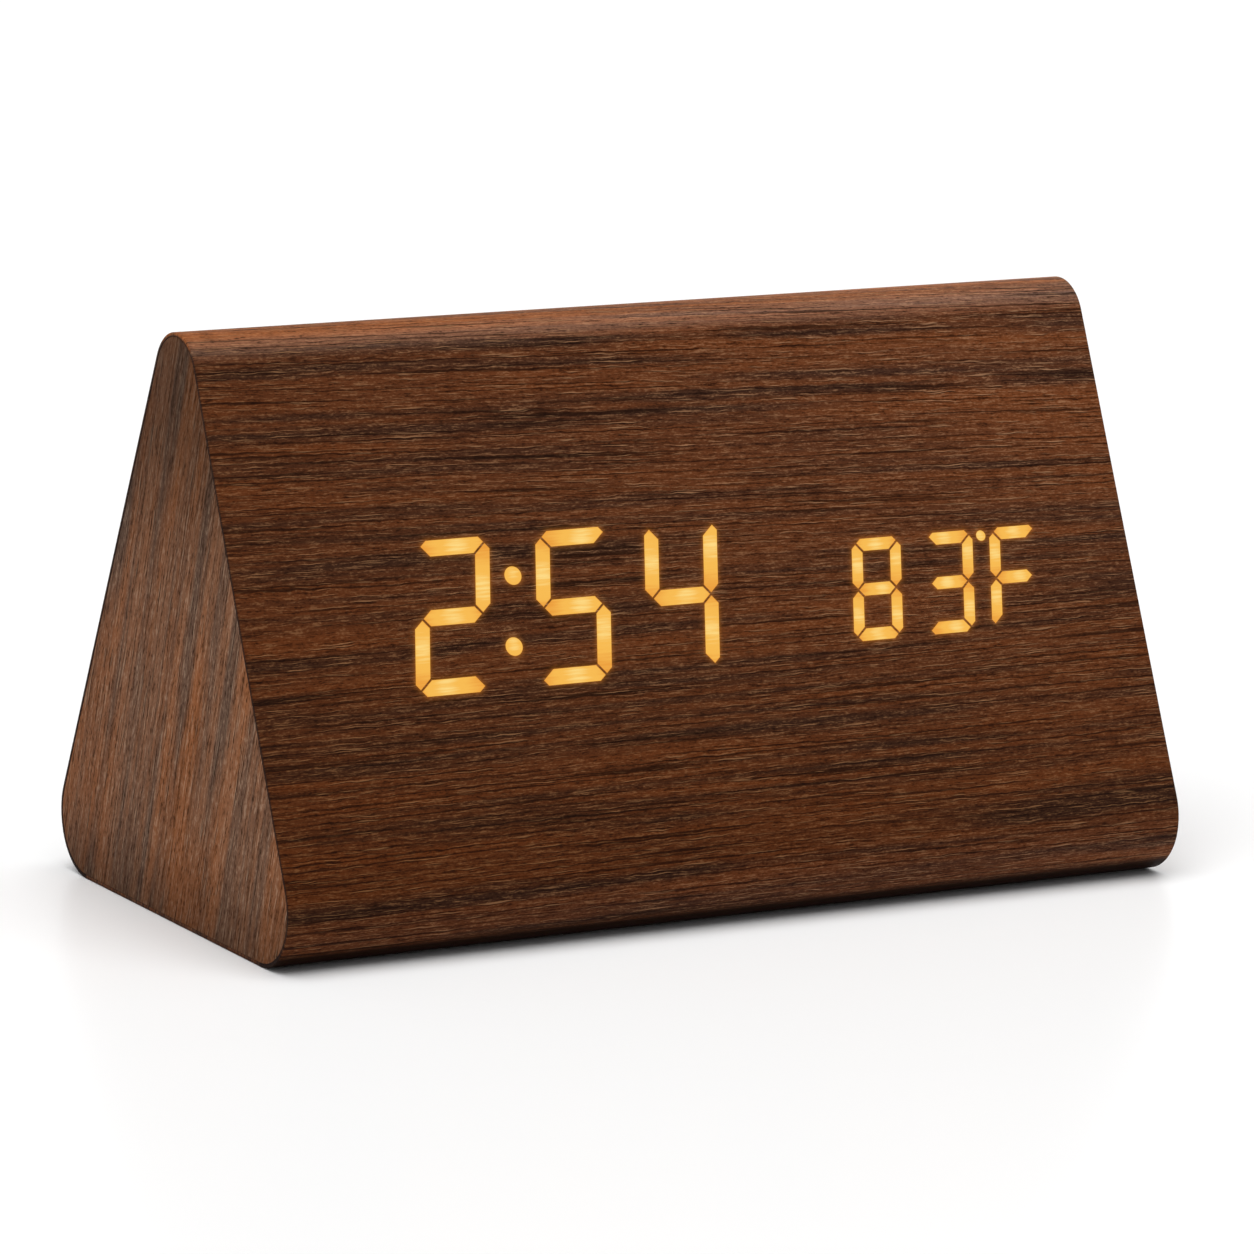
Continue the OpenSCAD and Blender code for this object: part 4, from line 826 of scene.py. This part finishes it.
# A cell's profile in millimetres, as length and radius: the bare foot, the jacket, which is curled over both
# ends, and the bare shoulder with the nub.
wide, tip = cell_radius / MM, cell_length / MM
foot = [(0, 0), (0, 3.9), (0.12, 4.05)]
jacket = [(0.12, 4.05), *quarter((0.02, 4.4), (0.65, wide), True),
          *quarter((tip - 1.9, wide), (tip - 1.2, 4.4), False), (tip - 1.3, 4.1)]
cap = [(tip - 1.3, 4.1), (tip - 1.4, 3.9), *quarter((tip - 1.4, 2.6), (tip - 0.9, 1.9), True),
       *quarter((tip - 0.2, 1.9), (tip, 1.6), False), (tip, 0)]
can_steps = 64
reach, radius = np.array(foot + jacket + cap).T[:, :, None] * MM
bare = np.repeat([1, 0, 1], [len(foot), len(jacket), len(cap)])
turn = np.linspace(0, 2 * math.pi, can_steps, endpoint=False)
up, out = radius * np.cos(turn), radius * np.sin(turn)
cans = [in_row(row, cell_first + i * cell_pitch + reach, up, out).reshape(-1, 3)
        for row in rows for i in (0, 1)]
cells = joined([(can, hoops(len(reach), len(turn)).tolist()) for can in cans])
new_piece("battery_cells", *cells, foil_jacket(), "cell_jacket", "case", "aaa_cells",
          along=np.tile(np.repeat(reach / cell_length, len(turn)), len(cans)),
          bare=np.tile(np.repeat(bare, len(turn)), len(cans)))

# Leads are stranded wire in smooth PVC, red from the positive plate and black from the negative one. Each
# starts at its plate's tail, runs up behind the battery bay and ends on the inner face of the main board.
lead_width = 1.3 * MM
lead_clear = 2 * MM
lead_start = -row_start + lead_width / 2 + cell_touch
tail_depth = plate_low[2]
lead_back = tail_depth - lead_width
board_low, _ = span("main_board", rear_side)
lead_top = board_low[1] + lead_width
for word, colour, dark, light, (_, height) in (("positive", "red", "#8f1512", "#b3221c", rows[1]),
                                               ("negative", "black", "#101010", "#1c1c1c", rows[0])):
    node = "battery_" + word + "_lead"
    _, lead_high = span(node, rear_side)
    pad = lead_high[0] - lead_width / 2
    bends = np.array([
        (lead_start, height, tail_depth + lead_width), (lead_start, height + lead_clear, lead_back),
        (pad, lead_top - 2 * lead_clear, lead_back), (pad, lead_top, board_low[2] - 2 * lead_clear),
        (pad, lead_top, board_low[2])])
    pvc = grained(colour + "_pvc", dark, light, 0.5 * MM, 0.45, 0.002 * MM)
    wire = tube(smoothed(on_front(*bends.T) * rear_side), lead_width / 2)
    new_piece(colour + "_lead", *wire, pvc, colour + "_pvc", "case", node)

# Ribbon cable is matt grey PVC over ten wires, in an even bend from the display board to the main board.
wires = 10
ribbon_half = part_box("display_ribbon")[1].x
ribbon_thick = 0.9 * MM
ribbon_web = 0.7  # the ribbon's thickness between two wires, as a share of that over a wire
wire_steps = 8
bend_steps = 48
connector_width = 5 * MM


def ribbon_end(side):
    """The middle of the ribbon's end at one face: half-way up its connector, and nearest to the face."""
    connector_low, _ = span("ribbon_connectors", side)
    _, ribbon_high = span("display_ribbon", side)
    up = connector_low[1] + connector_width / 2
    return (face_low + up * face_up + ribbon_high[2] * face_out) * side[1:]


first, last = ribbon_end(front_side), ribbon_end(rear_side)
pull = np.linalg.norm(last - first) / 2
knots = first, first - pull * face_out, last - pull * face_out * rear_side[1:], last
step = np.linspace(0, 1, bend_steps + 1)[:, None]
path = sum(count * (1 - step) ** (3 - i) * step ** i * knot
           for i, (count, knot) in enumerate(zip((1, 3, 3, 1), knots)))
way = np.gradient(path, axis=0)
way /= np.linalg.norm(way, axis=1)[:, None]
across = np.linspace(-1, 1, wires * wire_steps + 1)
rib = ribbon_thick / 2 * (ribbon_web + (1 - ribbon_web) * np.abs(np.sin(across * wires / 2 * math.pi)))
edge = np.concatenate([across, across[::-1]]) * ribbon_half
lift = np.concatenate([-rib, rib[::-1]])
rise = path[:, None] + lift[:, None] * np.stack([-way[:, 1], way[:, 0]], -1)[:, None]
points = np.concatenate([np.broadcast_to(edge[:, None], (*rise.shape[:2], 1)), rise], 2).reshape(-1, 3)
ribbon_pvc = grained("grey_ribbon_pvc", "#8f8f8b", "#b6b6b1", 0.6 * MM, 0.5, 0.004 * MM)
new_piece("ribbon_cable", points, capped(len(path), len(edge)), ribbon_pvc, "ribbon_pvc", "case",
          "display_ribbon")


# Main board's parts that show through the insert: the round power socket of black nylon, and two capacitors
# in shrunk sleeves behind it.
# Black nylon has a low gloss, with faint mottles of about 0.35 mm.
socket_nylon = grained("black_nylon", "#141416", "#1d1d20", 0.35 * MM, 0.42, 0.004 * MM)
dress(socket_nylon, "power_socket")
# Shrunk sleeve is dark blue and smooth.
capacitor_sleeve = grained("capacitor_sleeve", "#17243a", "#22375a", 0.6 * MM, 0.4, 0.002 * MM)
dress(capacitor_sleeve, "capacitors")


# Studio: a faintly glossy white table under a wide soft light from above and a weaker one from the left.
# The camera stands where the photograph was taken, with a long lens.
table_reach = 4.0
mesh = bpy.data.meshes.new("table")
mesh.from_pydata([(-table_reach, -table_reach, 0), (table_reach, -table_reach, 0),
                  (table_reach, table_reach, 0), (-table_reach, table_reach, 0)], [], [(0, 1, 2, 3)])
table = bpy.data.objects.new("table", mesh)
bpy.context.scene.collection.objects.link(table)
# White acrylic is nearly pure white, with a weak and slightly blurred mirror in it.
acrylic = new_material("white_acrylic")
surface(acrylic, {"Base Color": linear("#fbfbfb"), "Roughness": 0.3, "Specular IOR Level": 0.08})
mesh.materials.append(acrylic)

world = bpy.data.worlds.new("studio")
bpy.context.scene.world = world
world.use_nodes = True
world.node_tree.nodes.clear()
ambient = 0.3
# The backdrop is white where it is seen straight, in a mirror or through glass, and dimmer as a light.
ray = add(world, "ShaderNodeLightPath")
seen = ray.outputs["Is Camera Ray"]
for kind in ("Is Glossy Ray", "Is Transmission Ray"):
    seen = add(world, "ShaderNodeMath", {0: seen, 1: ray.outputs[kind]}, operation="MAXIMUM").outputs[0]
strength = add(world, "ShaderNodeMapRange", {"Value": seen, "To Min": ambient, "To Max": 1.0})
backdrop = add(world, "ShaderNodeBackground", {"Color": linear("#ffffff"), "Strength": strength.outputs[0]})
add(world, "ShaderNodeOutputWorld", {"Surface": backdrop.outputs[0]})


def soft_light(name, place, spread, strength):
    """A wide, even light that falls towards the origin from a place's direction, spread over some degrees."""
    lamp = bpy.data.lights.new(name, "SUN")
    lamp.angle, lamp.energy = math.radians(spread), strength
    light = bpy.data.objects.new(name, lamp)
    light.matrix_world = (-Vector(place)).to_track_quat("-Z", "Y").to_matrix().to_4x4()
    bpy.context.scene.collection.objects.link(light)


soft_light("overhead_scrim", (-0.1, -0.2, 1.0), spread=60, strength=2.5)
soft_light("left_scrim", (-1.0, -0.35, 0.45), spread=60, strength=0.32)

camera_place = Vector((-0.49519, -0.86992, 0.23974))
camera_target = Vector((-0.00015, -0.00043, 0.03776))
camera_roll = math.radians(1.307)
lens = bpy.data.cameras.new("camera")
lens.lens, lens.sensor_width = 196.28, 36.0
camera = bpy.data.objects.new("camera", lens)
camera.matrix_world = (Matrix.Translation(camera_place)
                       @ (camera_target - camera_place).to_track_quat("-Z", "Y").to_matrix().to_4x4()
                       @ Matrix.Rotation(camera_roll, 4, "Z"))
bpy.context.scene.collection.objects.link(camera)
bpy.context.scene.camera = camera
bpy.context.scene.view_settings.view_transform = "Standard"
